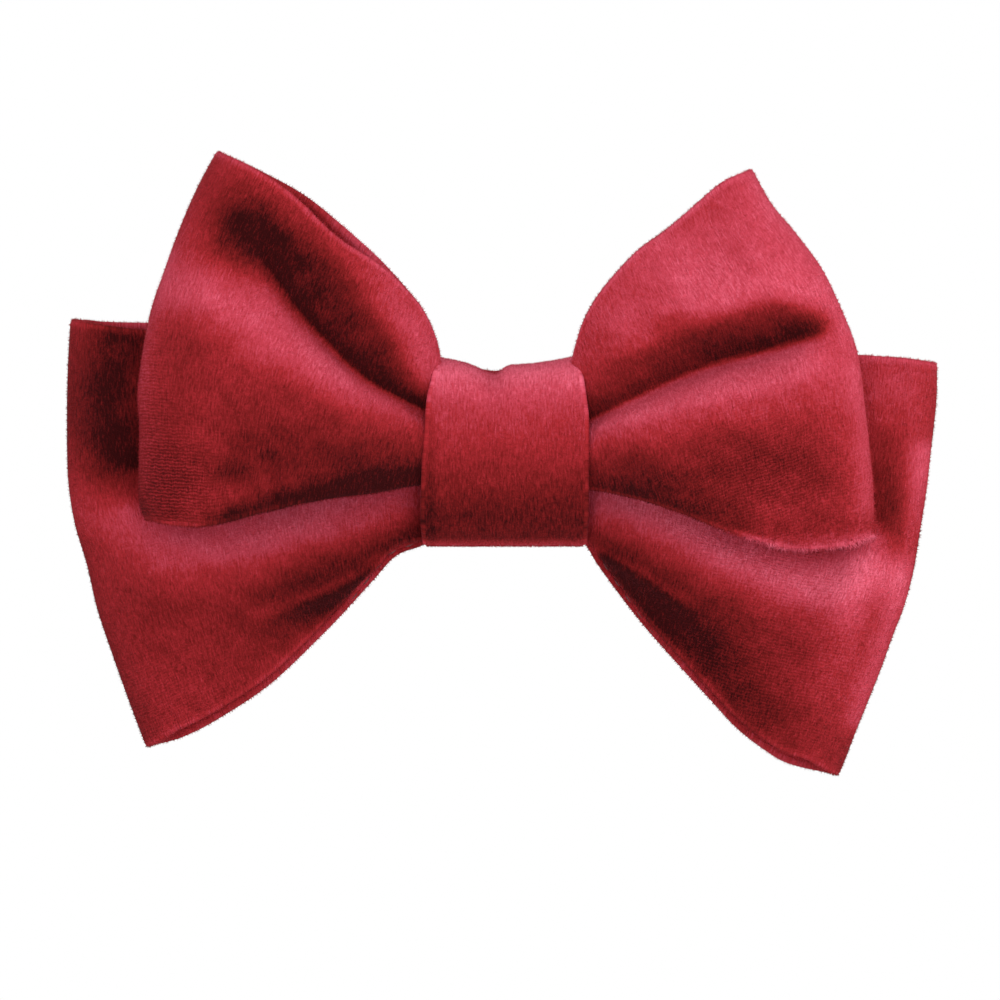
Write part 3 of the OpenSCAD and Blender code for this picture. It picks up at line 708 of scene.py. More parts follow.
def ring_stations():
    """Columns round the ring, each its loop, its wall (-1 front, 1 back), its shares of the waist and of
    the loop, and its turn round the outer fold."""
    stations = []
    flat = 1 - FOLD_SHARE
    for loop_at, outwards_wall in ((1, 1), (0, -1)):
        for wall, outwards in ((outwards_wall, True), (-outwards_wall, False)):
            first = JOIN_GAP / 2 / WAIST_HALF if wall > 0 else 0.0
            waist = [(loop_at, wall, k, 0.0, 0.0) for k in np.linspace(first, 1, WAIST_COLUMNS)]
            shares = flat * np.linspace(0, 1, WALL_COLUMNS + 1)[1:] ** 0.92
            leg = waist + [(loop_at, wall, 1.0, q, 0.0) for q in shares]
            if outwards:
                stations += leg
                turns = np.linspace(0, math.pi, FOLD_COLUMNS + 2)[1:-1]
                stations += [(loop_at, wall, 1.0, 1 - FOLD_SHARE * (1 - math.sin(a)), a) for a in turns]
            else:
                stations += leg[::-1]
    # the two front walls share their middle column
    middle = [i for i, s in enumerate(stations) if s[1] < 0 and s[2] == 0.0]
    del stations[middle[1]]
    return stations


def near_curve(x, z, points, side):
    """For each vertex: share along a curve, and distance from it, positive above."""
    line = through(points, np.linspace(0, 1, CURVE_STEPS))
    way = unit(np.gradient(line, axis=0))
    dx = x[..., None] - line[:, 0]
    dz = z[..., None] - line[:, 1]
    nearest = np.argmin(dx * dx + dz * dz, axis=-1)
    ox = np.take_along_axis(dx, nearest[..., None], -1)[..., 0]
    oz = np.take_along_axis(dz, nearest[..., None], -1)[..., 0]
    cross = (way[nearest, 0] * oz - way[nearest, 1] * ox) * side
    reach = np.hypot(ox, oz)
    return nearest / (CURVE_STEPS - 1), np.sign(cross) * reach


def start_middle_end(values, share):
    """A soft run through three values."""
    return np.interp(share, (0, 0.15, 0.5, 0.85, 1.0),
                     (values[0], 0.55 * values[0] + 0.45 * values[1], values[1],
                      0.5 * values[1] + 0.5 * values[2], values[2]))


def soft_noise(x, z, seed, size):
    """Slow, smooth unevenness made of a few fixed waves, about from -1 to 1."""
    draw = np.random.default_rng(seed)
    total = np.zeros_like(x)
    for _ in range(7):
        angle, phase = draw.uniform(0, math.tau, 2)
        wave = draw.uniform(0.7, 1.5) * math.tau / size
        total += np.sin((x * math.cos(angle) + z * math.sin(angle)) * wave + phase)
    return total / 3.5


def between_ends(q, start):
    """1 along a loop, fading to 0 at the knot and at the outer fold."""
    return smooth(q / start) * (1 - smooth((q - 0.84) / 0.16))


def crowned(v):
    """1 in the middle of the cloth's width, falling to 0 at its two edges."""
    return 1 - np.abs(2 * v - 1) ** 3


def relief(loop, x, z, q, v):
    """How far a front wall stands forward of its plain shape."""
    forward = np.zeros_like(x)
    for points, heights, above, below in loop["creases"]:
        share, off = near_curve(x, z, points, loop["side"])
        blunt = np.hypot(off, CREASE_BLUNT) - CREASE_BLUNT
        forward += start_middle_end(heights, share) * np.exp(-blunt / np.where(off > 0, above, below))
    for points, heights, above, below in loop["ridges"]:
        share, off = near_curve(x, z, points, loop["side"])
        soft = np.where(off > 0, above, below)
        forward += start_middle_end(heights, share) * np.exp(-(off / soft) ** 2)
    # slow unevenness about 17 mm long, and small dents about 6 mm long
    uneven = 0.25 * soft_noise(x, z, 11 + loop["side"], 17.0) + 0.1 * soft_noise(x, z, 21, 6.0)
    return (forward + CROWN * crowned(v) + uneven) * between_ends(q, 0.12)


def painted_stroke_tone(loop, x, z):
    """Painted light and shade on a front wall, in strokes: up (a painted highlight) or down (a painted
    shade).
    """
    tone = np.zeros_like(x)
    for points, amount, above, below in loop["painted_strokes"]:
        share, off = near_curve(x, z, points, loop["side"])
        soft = np.where(off > 0, above, below)
        tone += start_middle_end(np.broadcast_to(amount, 3), share) * np.exp(-(off / soft) ** 2)
    return tone


def face_normals(points):
    """Unit normals of a grid of points, from its two directions."""
    return unit(np.cross(np.gradient(points, axis=1), np.gradient(points, axis=0)))


def run_along(points, axis):
    """Distance along a grid of points in one direction, from 0 at its edge."""
    steps = np.linalg.norm(np.diff(points, axis=axis), axis=2)
    return np.cumsum(np.insert(steps, 0, 0, axis=axis), axis=axis)


def loop_face(bow, at, stations, v):
    """The outer face of one loop, front and back: its points, and its painted light and shade. v holds
    shares of the cloth's width, from its bottom edge to its top edge."""
    loop = bow["loops"][at]
    wall, waist, q, fold = (np.array([station[k] for station in stations]) for k in range(1, 5))
    wall = wall * np.copysign(1, np.cos(fold))
    behind = (wall > 0)[:, None]

    # the edges, with the top ones parted so that the lining peeps out
    top, bottom = through(loop["top"], q), through(loop["bottom"], q)
    peep = np.exp(-((q - loop["peep_at"]) / PEEP_REACH) ** 2)
    top[:, 1] += peep * np.where(wall > 0, loop["back_top"], -loop["front_dip"])
    hang = smooth(q / 0.15) * (1 - smooth((q - 0.9) / 0.1))
    bottom[:, 1] -= np.where(wall > 0, 0, loop["back_bottom"] * hang)

    # the wall between them, bent outwards to the curve of the outer fold
    flat = bottom[:, None] * (1 - v)[None, :, None] + top[:, None] * v[None, :, None]
    straight = np.outer(1 - v, loop["bottom"][-1]) + np.outer(v, loop["top"][-1])
    flat = flat + (through(loop["outer"], v) - straight)[None] * (q ** 2.2)[:, None, None]
    x, z = flat[..., 0] * waist[:, None], flat[..., 1]

    # its depth: the opening of the loop, then folds in front and gathers behind
    plane = bow["waist_y"] + (bow["loop_y"] - bow["waist_y"]) * smooth(q / LEANS_BY)
    wide = np.where(wall > 0, bow["back_open"], bow["front_open"])
    opening = bow["waist_open"] + (wide - bow["waist_open"]) * smooth(q / OPENS_BY)
    y = (plane + wall * opening * np.abs(np.cos(fold)))[:, None] + np.zeros_like(x)
    share, up = q[:, None] + np.zeros_like(x), v[None] + np.zeros_like(x)
    bulge = BACK_CROWN * crowned(up) + 0.3 * soft_noise(x, z, 31 + at, 20.0)
    gathers = 0.5 * np.sin(math.tau * 2.6 * up) * np.exp(-(share / 0.3) ** 2) * smooth(share / 0.08)
    y += np.where(behind, bulge * between_ends(share, 0.16) + gathers, -relief(loop, x, z, share, up))

    # painted highlight along the turned top and bottom edges
    rim = RIM_HIGHLIGHT * smooth((np.abs(2 * up - 1) - 0.965) / 0.035)
    # painted light and shade: the strokes and edge highlight on a front wall; a slow random tone and half
    # the edge highlight on a back wall
    tone = np.where(behind, 0.12 * soft_noise(x, z, 41 + at, 26.0) + 0.5 * rim,
                    painted_stroke_tone(loop, x, z) + rim)
    return np.stack([x, y, z], -1), tone


def bow_surface(bow):
    """The outer face of a bow's ring: points, outward normals and, for each point, its place on the
    flat cloth, its painted light and shade, and how far its rows part."""
    stations = ring_stations()
    v = np.linspace(-EDGE_ALLOWANCE, 1 + EDGE_ALLOWANCE, CLOTH_ROWS)
    points = np.zeros((len(stations), CLOTH_ROWS, 3))
    tone = np.zeros((len(stations), CLOTH_ROWS))
    for at in (0, 1):
        pick = [i for i, station in enumerate(stations) if station[0] == at]
        points[pick], tone[pick] = loop_face(bow, at, [stations[i] for i in pick], v)
    normals = face_normals(points)
    # painted light and shade: the strokes, plus a painted highlight where the cloth faces up and painted
    # shade where it faces down
    painted_shading_and_tone = 0.5 + tone + UP_FACING_HIGHLIGHT * np.clip(normals[..., 2], -0.7, 0.7)
    run = run_along(points, 0)[:, CLOTH_ROWS // 2, None]
    width = run_along(points, 1)
    fields = np.stack([run + 0 * width, width - width[:, -1:] / 2,
                       np.clip(painted_shading_and_tone, DEEPEST_SHADE, bow["painted_highlight_cap"]), parted_rows(points)], -1)
    return points, normals, fields


def ply_shell(points, normals, fields, outer_at, inner_at, inset=1):
    """A closed shell for one ply between two depths below the outer face. Its long edges are rounded and
    lie a number of rows in from the edge of the grid."""
    across = unit(np.gradient(points, axis=1))
    middle, round_r = (outer_at + inner_at) / 2, abs(inner_at - outer_at) / 2
    way = 1 if inner_at > outer_at else -1
    last = points.shape[1] - 1 - inset
    rows = range(inset, last + 1)
    turns = [math.pi * step / ROLL_ROWS for step in range(1, ROLL_ROWS)]

    def edge(row, side, turn):
        place = points[:, row] + side * across[:, row] * round_r * math.sin(turn)
        return place - normals[:, row] * (middle - way * round_r * math.cos(turn)), fields[:, row]

    strips = [edge(inset, -1, t) for t in reversed(turns)]
    strips += [(points[:, r] - normals[:, r] * outer_at, fields[:, r]) for r in rows]
    strips += [edge(last, 1, t) for t in turns]
    strips += [(points[:, r] - normals[:, r] * inner_at, fields[:, r]) for r in reversed(rows)]
    grid = np.stack([place for place, _ in strips], 1)
    marks = np.stack([mark for _, mark in strips], 1)
    count, around = grid.shape[:2]
    faces = []
    for i in range(count - 1):
        for j in range(around):
            a, b = i * around + j, i * around + (j + 1) % around
            faces.append((a, b, b + around, a + around))
    # each cut end: squares between the two faces, and one fan in each rounded edge
    rolled, broad = len(turns), len(rows)
    for first in (0, (count - 1) * around):
        ring = [first + j for j in range(around)]
        out, back = ring[rolled:rolled + broad], ring[:rolled + broad + rolled - 1:-1]
        caps = [(out[j], out[j + 1], back[j + 1], back[j]) for j in range(broad - 1)]
        caps.append(tuple([back[0]] + ring[:rolled] + [out[0]]))
        caps.append(tuple([out[-1]] + ring[rolled + broad:2 * rolled + broad] + [back[-1]]))
        faces += caps if first == 0 else [c[::-1] for c in caps]
    if way < 0:
        faces = [f[::-1] for f in faces]
    return grid.reshape(-1, 3), faces, marks.reshape(-1, fields.shape[2])


def spots(points, table):
    """Soft spots over a face, each strongest in its middle."""
    x, z = points[..., 0], points[..., 2]
    return sum(weight * np.exp(-((x - cx) / wide) ** 2 - ((z - cz) / high) ** 2)
               for cx, cz, wide, high, weight in table)


def parted_rows(points):
    """Where the pile parts so that its rows show: low on the front loops and on the rear ones."""
    in_front = smooth((-14 - points[..., 1]) / 4)
    return np.clip(0.05 + in_front * spots(points, FRONT_PARTED) + spots(points, REAR_PARTED), 0, 1)


def frayed(points):
    """How far the pile frays, in uneven tufts about 2 mm wide."""
    tufts = 0.75 + 0.35 * soft_noise(points[..., 0], points[..., 2], 51, 2.2)
    return np.clip(spots(points, FRAYED) * tufts, 0, 1)


def cloth_piece(name, node, slot, shell, material, **sheet):
    """One ply as an object that stands for its node."""
    verts, faces, marks = shell
    obj = new_object(name, verts, faces, material, marks[:, :2], {"painted_shading_and_tone": marks[:, 2], "rows": marks[:, 3]})
    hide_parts(node)
    return obj


def stand_up_pile(name, points, painted_shading_and_tone, density, length, lean=0.75):
    """Loose fibres over a face of velvet, longer where the pile frays."""
    count, wide = points.shape[:2]
    faces = [(i * wide + j, i * wide + j + 1, (i + 1) * wide + j + 1, (i + 1) * wide + j)
             for i in range(count - 1) for j in range(wide - 1)]
    base = new_object(name, points.reshape(-1, 3), faces, velvet(), marks={
        "painted_shading_and_tone": painted_shading_and_tone.ravel(), "fray": frayed(points).ravel()})
    return grown(base, tree_named("standing_pile", pile_tree), {
        "Density": density, "Length": length * MM, "Thickness": PILE_THICK * MM, "Seed": PILE_SEED,
        "Most Lean": (lean, lean, math.pi), "Least Lean": (-lean, -lean, -math.pi),
        "Material": get_material("loose_cotton_pile", loose_pile, bpy.context.scene.bow_cloth)})


def turned_edge(points, normals, row, side, ply):
    """The strip round a turned edge of the outer ply, out to the middle of its thickness."""
    across = unit(np.gradient(points, axis=1))[:, row]
    strips = []
    for turn in np.radians((25, 55, 85, 115)):      # from the face round to the seam
        strips.append(points[:, row] + side * across * ply / 2 * math.sin(turn)
                      - normals[:, row] * ply / 2 * (1 - math.cos(turn)))
    return np.stack(strips if side > 0 else strips[::-1], 1)


def make_bow(bow):
    """Velvet, lining, interlining, pile and threads of one bow."""
    cloth = bpy.context.scene.bow_cloth
    ply, between = cloth.ply / MM, cloth.between / MM
    points, normals, fields = bow_surface(bow)
    widths = fields[:, -1, 1] - fields[:, 0, 1]
    long = float(fields[-1, 0, 0])
    flat = {"flat": (float(widths.max()) * MM, long * MM),
            "area": float(np.trapz(widths, fields[:, 0, 0])) * MM * MM}
    name = bow["name"]
    painted_shading_and_tone = fields[..., 2]
    pile = [stand_up_pile(f"{name}_pile", points[:, 1:-1], painted_shading_and_tone[:, 1:-1], bow["density"], PILE_LENGTH)]
    for edge, row, side in (("top", -2, 1), ("bottom", 1, -1)):
        strip = turned_edge(points, normals, row, side, ply)
        # the frayed fibres are coloured brighter: a painted highlight on the fringe
        tone = np.clip(painted_shading_and_tone[:, row, None] + 0.36 * frayed(strip), 0, 1)
        pile.append(stand_up_pile(f"{name}_{edge}_fringe", strip, tone, EDGE_DENSITY, EDGE_PILE, 0.5))
    coarse = slice(None, None, 2)      # every other column is enough for a hidden ply
    cloth_piece(f"{name}_velvet_cloth", f"{name}_velvet", "velvet",
                ply_shell(points, normals, fields, 0.0, ply), velvet(),
                rests_on=["knot_interlining"], with_pieces=pile, **flat)
    # painted shade on the lining inside the loop, fading out at its edges
    inside = fields.copy()
    v = np.abs(np.linspace(-1, 1, CLOTH_ROWS))
    inside[..., 2] -= INSIDE_SHADE * smooth((1 - v) / 0.1)
    cloth_piece(f"{name}_lining_cloth", f"{name}_lining", "velvet",
                ply_shell(points, normals, inside, 2 * ply + between, ply + between), velvet(),
                rests_on=[f"{name}_interlining"], **flat)
    cloth_piece(f"{name}_interlining_cloth", f"{name}_interlining", "interlining",
                ply_shell(points[coarse], normals[coarse], fields[coarse], ply + 0.1,
                          ply + between - 0.1, CANVAS_INSET), canvas(),
                rests_on=[f"{name}_lining"], **flat)
    make_bow_threads(bow, points, normals, ply + between / 2)


def make_bow_threads(bow, points, normals, depth):
    """Slip stitches in both edge seams, whip stitches over the join, and the turns that gather it. depth
    is how far the seam lies below the outer face."""
    name = bow["name"]
    across = unit(np.gradient(points, axis=1))
    for edge, row, side in (("top", -2, 1), ("bottom", 1, -1)):
        line = points[:, row] - normals[:, row] * depth + side * across[:, row] * SEAM_SINK
        stitch_row(f"{name}_{edge}_seam", line, pitch=3.0, long=1.5)
    low, high = bow["waist"]
    back = bow["waist_y"] + bow["waist_open"] + THREAD_R
    stitch_row(f"{name}_join_stitches", [(0, back, low + 1), (0, back, high - 1)],
               pitch=1.4, long=3.6, slant=1.2)
    # three turns each side of the middle, 0.6 mm apart, square round the waist
    clear = THREAD_R + 0.05
    deep, tall = bow["waist_open"] + clear, (high - low) / 2 + clear
    turns = []
    for side in (-1, 1):
        line = []
        for step in range(3 * TURN_STEPS + 1):
            a = math.tau * step / TURN_STEPS
            lobe = max(abs(math.cos(a)), abs(math.sin(a)))
            line.append((side * (3.0 + 0.6 * step / TURN_STEPS),
                         bow["waist_y"] + deep * math.cos(a) / lobe,
                         (low + high) / 2 + tall * math.sin(a) / lobe))
        turns.append(line)
    thread_run(f"{name}_gathering_thread", turns, thread(), THREAD_R)


class BOWTIE_OT_bows(bpy.types.Operator):
    """Makes the front and rear bows, each a ring of two velvet plies over an interlining"""
    bl_idname = "bowtie.bows"
    bl_label = "Bows"

    def execute(self, context):
        for bow in (FRONT_BOW, REAR_BOW):
            make_bow(bow)
        # six short tacks between the two waists
        tacks = [[(side * 8, -12.6, z), (side * 8, -11.4, z)] for side in (-1, 1) for z in (-3, 1, 5)]
        thread_run("waist_tack_stitches", tacks, thread(), 2 * THREAD_R)
        return {"FINISHED"}


# ---------------------------------------------------------------- the knot

KNOT_FRONT, KNOT_BACK = -23.0, -1.5
KNOT_HALF = 13.7       # half the height of the band, mm
KNOT_WIDTH = 24.8      # the band laid flat, mm
KNOT_CORNER = 4.5      # radius of its turns over the top and under the bottom, mm
KNOT_COLUMNS = 150     # columns round the band
KNOT_ROWS = 56         # rows across the band
KNOT_DENSITY = 5.5e6   # loose fibres a square metre
# Left and right edge of the band seen from the front, from the bottom up
KNOT_LEFT = [(-12.3, -13.6), (-12.6, -7.0), (-12.4, -1.0), (-12.1, 3.0), (-11.6, 8.6), (-10.9, 11.2),
             (-10.2, 14.4)]
KNOT_RIGHT = [(12.2, -13.6), (12.5, -6.0), (12.5, 5.0), (12.2, 8.4), (11.4, 12.4), (10.4, 14.5)]
# Painted light and shade on the band, from the bottom up: height, and tone up (painted highlight) or down
# (painted shade); lit towards the top, shaded below the middle
KNOT_PAINTED_SHADING = ((-13.6, 0.1), (-12.6, -0.3), (-9, -0.34), (0, -0.04), (7, 0.16), (12, 0.44))


def knot_section(n):
    """The band seen from the side, from the slit at the back over the top to the front and back."""
    depth, high, r = (KNOT_BACK - KNOT_FRONT) / 2, KNOT_HALF, KNOT_CORNER
    cy = (KNOT_BACK + KNOT_FRONT) / 2
    line = [(cy + depth, JOIN_GAP / 2)]
    for sy, sz, start in ((1, 1, 0), (-1, 1, 90), (-1, -1, 180), (1, -1, 270)):
        for a in np.radians(np.linspace(start, start + 90, 12)):
            line.append((cy + sy * (depth - r) + r * math.cos(a), sz * (high - r) + r * math.sin(a)))
    line.append((cy + depth, -JOIN_GAP / 2))
    line = np.array(line)
    run = np.concatenate([[0], np.cumsum(np.linalg.norm(np.diff(line, axis=0), axis=1))])
    at = np.linspace(0, run[-1], n)
    return np.stack([np.interp(at, run, line[:, 0]), np.interp(at, run, line[:, 1])], -1), at


def knot_surface():
    """The outer face of the knot band, laid out as the bows are."""
    section, run = knot_section(KNOT_COLUMNS)
    v = np.linspace(0, 1, KNOT_ROWS)
    height = (section[:, 1] + KNOT_HALF) / (2 * KNOT_HALF)
    left = through(KNOT_LEFT, height)[:, 0]
    right = through(KNOT_RIGHT, height)[:, 0]
    x = left[:, None] * (1 - v) + right[:, None] * v
    y = section[:, 0][:, None] + np.zeros_like(x)
    z = section[:, 1][:, None] + np.zeros_like(x)
    # the top edge sags in its middle and has a small notch just left of it, which runs down as a dimple
    up = smooth((z - 5) / 8.0)
    front = smooth((-y - 3) / 4)
    notch = 1.5 * np.exp(-((x + 1.6) / np.where(x < -1.6, 2.8, 1.4)) ** 2)
    z = z + up * (1.2 * (x / 10) ** 2 - 0.4 - notch * front)
    dimple = 0.7 * np.exp(-((x + 1.4) / 2.2) ** 2) * smooth((z - 6) / 6)
    # the front is a soft pillow with a shallow groove beside each folded edge
    pillow = (1 - np.abs(2 * v - 1) ** 2.6)[None] * (1 - (section[:, 1] / 14)[:, None] ** 2)
    groove = 0.25 * np.exp(-((np.abs(2 * v - 1) - 0.91) / 0.025) ** 2)[None]
    uneven = 0.16 * soft_noise(x, z, 5, 9.0)
    y = y - np.where(y < -12, pillow - dimple + uneven - groove, 0)
    points = np.stack([x, y, z], -1)
    normals = unit(np.cross(np.gradient(points, axis=0), np.gradient(points, axis=1)))
    # painted light and shade by height, full on the front and weaker behind
    tone = np.interp(z, *zip(*KNOT_PAINTED_SHADING)) * np.where(y < -6, 1, 0.3)
    tone = tone - 0.1 * np.exp(-((x + 11.2) / 0.7) ** 2)       # a thin darker line along the left edge
    painted_shading_and_tone = np.clip(0.5 + tone, DEEPEST_SHADE, 1 - DEEPEST_SHADE)
    fields = np.stack([x, run[:, None] + 0 * x, painted_shading_and_tone, np.full_like(x, 0.04)], -1)
    return points, normals, fields


class BOWTIE_OT_knot(bpy.types.Operator):
    """Makes the velvet band round the waists and the interlining inside it"""
    bl_idname = "bowtie.knot"
    bl_label = "Knot"

    def execute(self, context):
        ply = context.scene.bow_cloth.ply / MM
        points, normals, fields = knot_surface()
        points, normals, fields = points[::-1], normals[::-1], fields[::-1]
        flat = (KNOT_WIDTH * MM, float(fields[0, 0, 1]) * MM)
        pile = stand_up_pile("knot_pile", points[:, 1:-1], fields[:, 1:-1, 2], KNOT_DENSITY, PILE_LENGTH)
        cloth_piece("knot_velvet_cloth", "knot_velvet", "velvet",
                    ply_shell(points, normals, fields, 0.0, ply), velvet(),
                    rests_on=["knot_interlining"], with_pieces=[pile], flat=flat)
        cloth_piece("knot_interlining_cloth", "knot_interlining", "interlining",
                    ply_shell(points, normals, fields, ply + 0.02, ply + 0.55, CANVAS_INSET), canvas(),
                    rests_on=["front_bow_velvet"], flat=flat)
        closing = [(x, KNOT_BACK + 0.1, 0) for x in (-10.5, 10.5)]
        stitch_row("knot_closing_stitches", closing, pitch=1.5, long=3.4, slant=1.25)
        return {"FINISHED"}


# ---------------------------------------------------------------- clip

def bevelled(node, material, body, width):
    """A CAD sheet-metal part with its cut edges softened."""
    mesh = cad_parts[node].data.copy()
    mesh.name = node + "_part"
    shape = bmesh.new()
    shape.from_mesh(mesh)
    bmesh.ops.remove_doubles(shape, verts=shape.verts, dist=0.002 * MM)
    bmesh.ops.dissolve_limit(shape, angle_limit=0.02, verts=shape.verts, edges=shape.edges)
    shape.to_mesh(mesh)
    shape.free()
    mesh.materials.clear()
    mesh.materials.append(material)
    obj = placed(node + "_part", mesh)
    bevel = obj.modifiers.new("softened edges", "BEVEL")
    bevel.width = width * MM
    bevel.segments = 2
    bevel.limit_method = "ANGLE"
    bevel.angle_limit = 0.6
    graph = bpy.context.evaluated_depsgraph_get()
    done = bpy.data.meshes.new_from_object(obj.evaluated_get(graph), depsgraph=graph)
    obj.modifiers.clear()
    obj.data = done
    done.polygons.foreach_set("use_smooth", np.ones(len(done.polygons), bool))
    done.set_sharp_from_angle(angle=0.45)
    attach(obj, body)
    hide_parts(node)
    return obj


class BOWTIE_OT_clip(bpy.types.Operator):
    """Makes the stamped clip, its wire spring and the thread that sews it on"""
    bl_idname = "bowtie.clip"
    bl_label = "Clip"

    def execute(self, context):
        metal = context.scene.bow_metal
        plate = get_material("barrel_polished_nickel_plate", nickel_plate, metal)
        wire = get_material("hard_drawn_spring_wire", drawn_wire, metal)
        bevelled("clip_base", plate, BODY, 0.12)
        bevelled("clip_jaw", plate, JAW, 0.12)
        bevelled("clip_hinge_pin", plate, BODY, 0.15)
        self.spring(wire)
        self.sewing()
        return {"FINISHED"}

    def spring(self, wire):
        """A torsion spring: a leg flat on the base, four and a half turns, and a leg under the lever."""
        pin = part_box("clip_hinge_pin")
        cx = (pin[0][0] + pin[1][0]) / 2 / MM
        cy = (pin[0][1] + pin[1][1]) / 2 / MM
        coil_r, wire_r, pitch, turns = 1.25, 0.25, 0.52, 4.5
        low = -pitch * turns / 2
        coil = [(cx + 9, cy - coil_r - 0.15, low), (cx + 2, cy - coil_r, low)]
        for step in range(int(turns * TURN_STEPS) + 1):
            a = -math.pi / 2 - math.tau * step / TURN_STEPS
            coil.append((cx + coil_r * math.cos(a), cy + coil_r * math.sin(a),
                         low + pitch * step / TURN_STEPS))
        thread_run("clip_spring", [coil], wire, wire_r, name="clip_spring_coil")
        lever = [(cx + out, cy + coil_r + rise, -low)
                 for out, rise in ((0, 0), (2.5, 0.1), (4.4, 0.45), (6, 1.1), (9, 2.55))]
        thread_run("clip_spring", [lever], wire, wire_r, JAW, "clip_spring_lever_leg")

    def sewing(self):
        """Three strands side by side through each pair of sewing holes, over the back of the base."""
        half = [(-1.3, 2.8), (-0.3, 2.75), (0.1, 2.5), (0.24, 1.2)]
        over = [(y, -z) for y, z in half] + half[::-1]
        strands = [[(hole + beside, y, z) for y, z in over]
                   for hole in (-9, -1) for beside in (-0.33, 0, 0.33)]
        thread_run("clip_stitches", strands, thread(), THREAD_R)


# ---------------------------------------------------------------- stage

# Each soft light: its place, the point that it looks at, its size and its power
LIGHTS = {
    "key_light": ((0.1, -0.95, 0.12), (0, -0.02, 0), 0.6, 4.3),
    "low_light": ((0, -0.9, -0.3), (0, -0.02, 0), 0.5, 5.4),
    "top_light": ((0.05, -0.35, 0.75), (0, -0.02, 0), 0.5, 1.7),
    "left_light": ((-0.5, -0.3, 0.25), (0, -0.02, 0), 0.3, 0.9),
    "right_light": ((0.5, -0.1, 0.12), (0, -0.02, -0.01), 0.3, 1.5),
    "rear_light": ((-0.25, 0.8, 0.3), (0, 0, 0), 0.5, 3.2),
}
FILL_BELOW, FILL_ABOVE = 0.28, 0.44     # white light from all round, from below and from above
FLOOR_HALF, FLOOR_BACK = 0.3, 0.1       # how far the floor reaches to the sides and front, and behind
LENS_AWAY = 2.6                         # from the camera to what it looks at
VIEW_MIDDLE = (-0.75 * MM, -22 * MM, -6.9 * MM)
SENSOR = 36                             # width of the camera's sensor, mm


def area_light(name, place, aim, size, power):
    """A square soft white light that looks at a point."""
    light = bpy.data.lights.new(name, "AREA")
    light.shape = "SQUARE"
    light.size = size
    light.energy = power
    obj = placed(name, light)
    way = np.array(aim) - np.array(place)
    obj.location = place
    pitch = math.atan2(math.hypot(way[0], way[1]), -way[2])
    obj.rotation_euler = (pitch, 0, math.atan2(way[1], way[0]) - math.pi / 2)


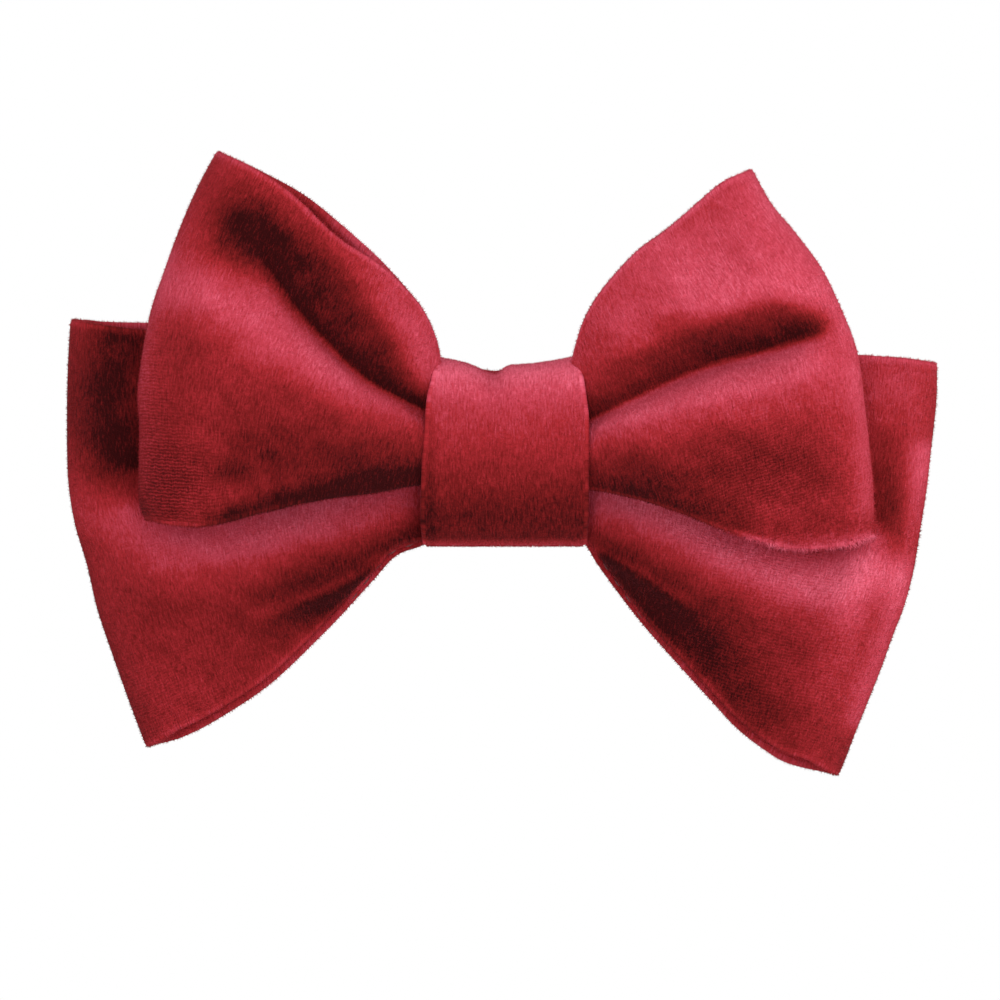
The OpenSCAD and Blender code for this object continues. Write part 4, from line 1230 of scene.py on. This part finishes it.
class BOWTIE_OT_stage(bpy.types.Operator):
    """Sets the pale floor, the soft lights and the camera"""
    bl_idname = "bowtie.stage"
    bl_label = "Stage"

    def execute(self, context):
        stage = context.scene.bow_stage
        context.scene.view_settings.view_transform = "Standard"
        self.floor(stage.floor_drop)
        for name, facts in LIGHTS.items():
            area_light(name, *facts)
        context.scene.world = self.studio()
        context.scene.camera = self.long_lens(stage.view_width)
        return {"FINISHED"}

    def floor(self, drop):
        """A floor of matt white paint, rolled on: an even pale ground with no reflection."""
        mesh = bpy.data.meshes.new("pale_floor")
        corners = ((-FLOOR_HALF, -FLOOR_HALF), (FLOOR_HALF, -FLOOR_HALF),
                   (FLOOR_HALF, FLOOR_BACK), (-FLOOR_HALF, FLOOR_BACK))
        mesh.from_pydata([(x, y, -drop) for x, y in corners], [], [(0, 1, 2, 3)])
        paint, tree = new_material("matt_white_floor")
        place = add(tree, "ShaderNodeTexCoord").outputs["Object"]
        speck = add(tree, "ShaderNodeTexNoise", values={"Scale": 60.0}, links={0: place})
        tone = add(tree, "ShaderNodeValToRGB", links={0: speck.outputs["Fac"]})
        blend_colours(tone, ((0.0, "#ECECEA"), (1.0, "#F4F4F2")))
        mesh.materials.append(finished(paint, tone, {"Roughness": 0.9}))
        placed("pale_floor", mesh)

    def studio(self):
        """A white studio that fills shadows softly, a little more from above."""
        world = bpy.data.worlds.new("white_studio")
        world.use_nodes = True
        tree = world.node_tree
        tree.nodes.clear()
        white = linear("#FFFFFF")
        path = add(tree, "ShaderNodeLightPath")
        seen = add(tree, "ShaderNodeBackground", values={"Color": white, "Strength": 1.0})
        place = add(tree, "ShaderNodeTexCoord")
        split = add(tree, "ShaderNodeSeparateXYZ", links={0: place.outputs["Generated"]})
        up = add(tree, "ShaderNodeMapRange",
                 values={"From Min": -1, "From Max": 1, "To Min": FILL_BELOW, "To Max": FILL_ABOVE},
                 links={0: split.outputs["Z"]})
        fill = add(tree, "ShaderNodeBackground", values={"Color": white}, links={"Strength": up.outputs[0]})
        both = add(tree, "ShaderNodeMixShader",
                   links={0: path.outputs["Is Camera Ray"], 1: fill.outputs[0], 2: seen.outputs[0]})
        add(tree, "ShaderNodeOutputWorld", links={"Surface": both.outputs[0]})
        return world

    def long_lens(self, view_width):
        """A camera far off, level and straight in front."""
        camera = bpy.data.cameras.new("long_lens")
        camera.sensor_width = SENSOR
        camera.lens = SENSOR * LENS_AWAY / view_width
        camera.clip_start, camera.clip_end = 0.05, 10
        across, deep, up = VIEW_MIDDLE
        view = placed("long_lens", camera)
        view.location = (across, deep - LENS_AWAY, up)
        view.rotation_euler = (math.pi / 2, 0, 0)
        return view


class BOWTIE_PT_panel(bpy.types.Panel):
    """Lists the steps that make the bow tie"""
    bl_label = "Bow Tie"
    bl_space_type = "VIEW_3D"
    bl_region_type = "UI"
    bl_category = "Bow Tie"

    def draw(self, context):
        for settings in (context.scene.bow_cloth, context.scene.bow_metal, context.scene.bow_stage):
            for key in settings.__annotations__:
                self.layout.prop(settings, key)
        for step in STEPS:
            self.layout.operator(step.bl_idname)


SETTINGS = {"bow_cloth": BowTieCloth, "bow_metal": BowTieMetal, "bow_stage": BowTieStage}
STEPS = (BOWTIE_OT_stage, BOWTIE_OT_bows, BOWTIE_OT_knot, BOWTIE_OT_clip)


def register():
    """Makes the classes and the scene's settings known to Blender."""
    for cls in (*SETTINGS.values(), *STEPS, BOWTIE_PT_panel):
        bpy.utils.register_class(cls)
    for key, cls in SETTINGS.items():
        setattr(bpy.types.Scene, key, bpy.props.PointerProperty(type=cls))


def unregister():
    """Takes the classes and settings away again."""
    for key in SETTINGS:
        delattr(bpy.types.Scene, key)
    for cls in (BOWTIE_PT_panel, *reversed(STEPS), *reversed(SETTINGS.values())):
        bpy.utils.unregister_class(cls)


def main():
    """Makes every piece in order."""
    register()
    for step in STEPS:
        kind, name = step.bl_idname.split(".")
        getattr(getattr(bpy.ops, kind), name)()


if __name__ == "__main__":
    main()
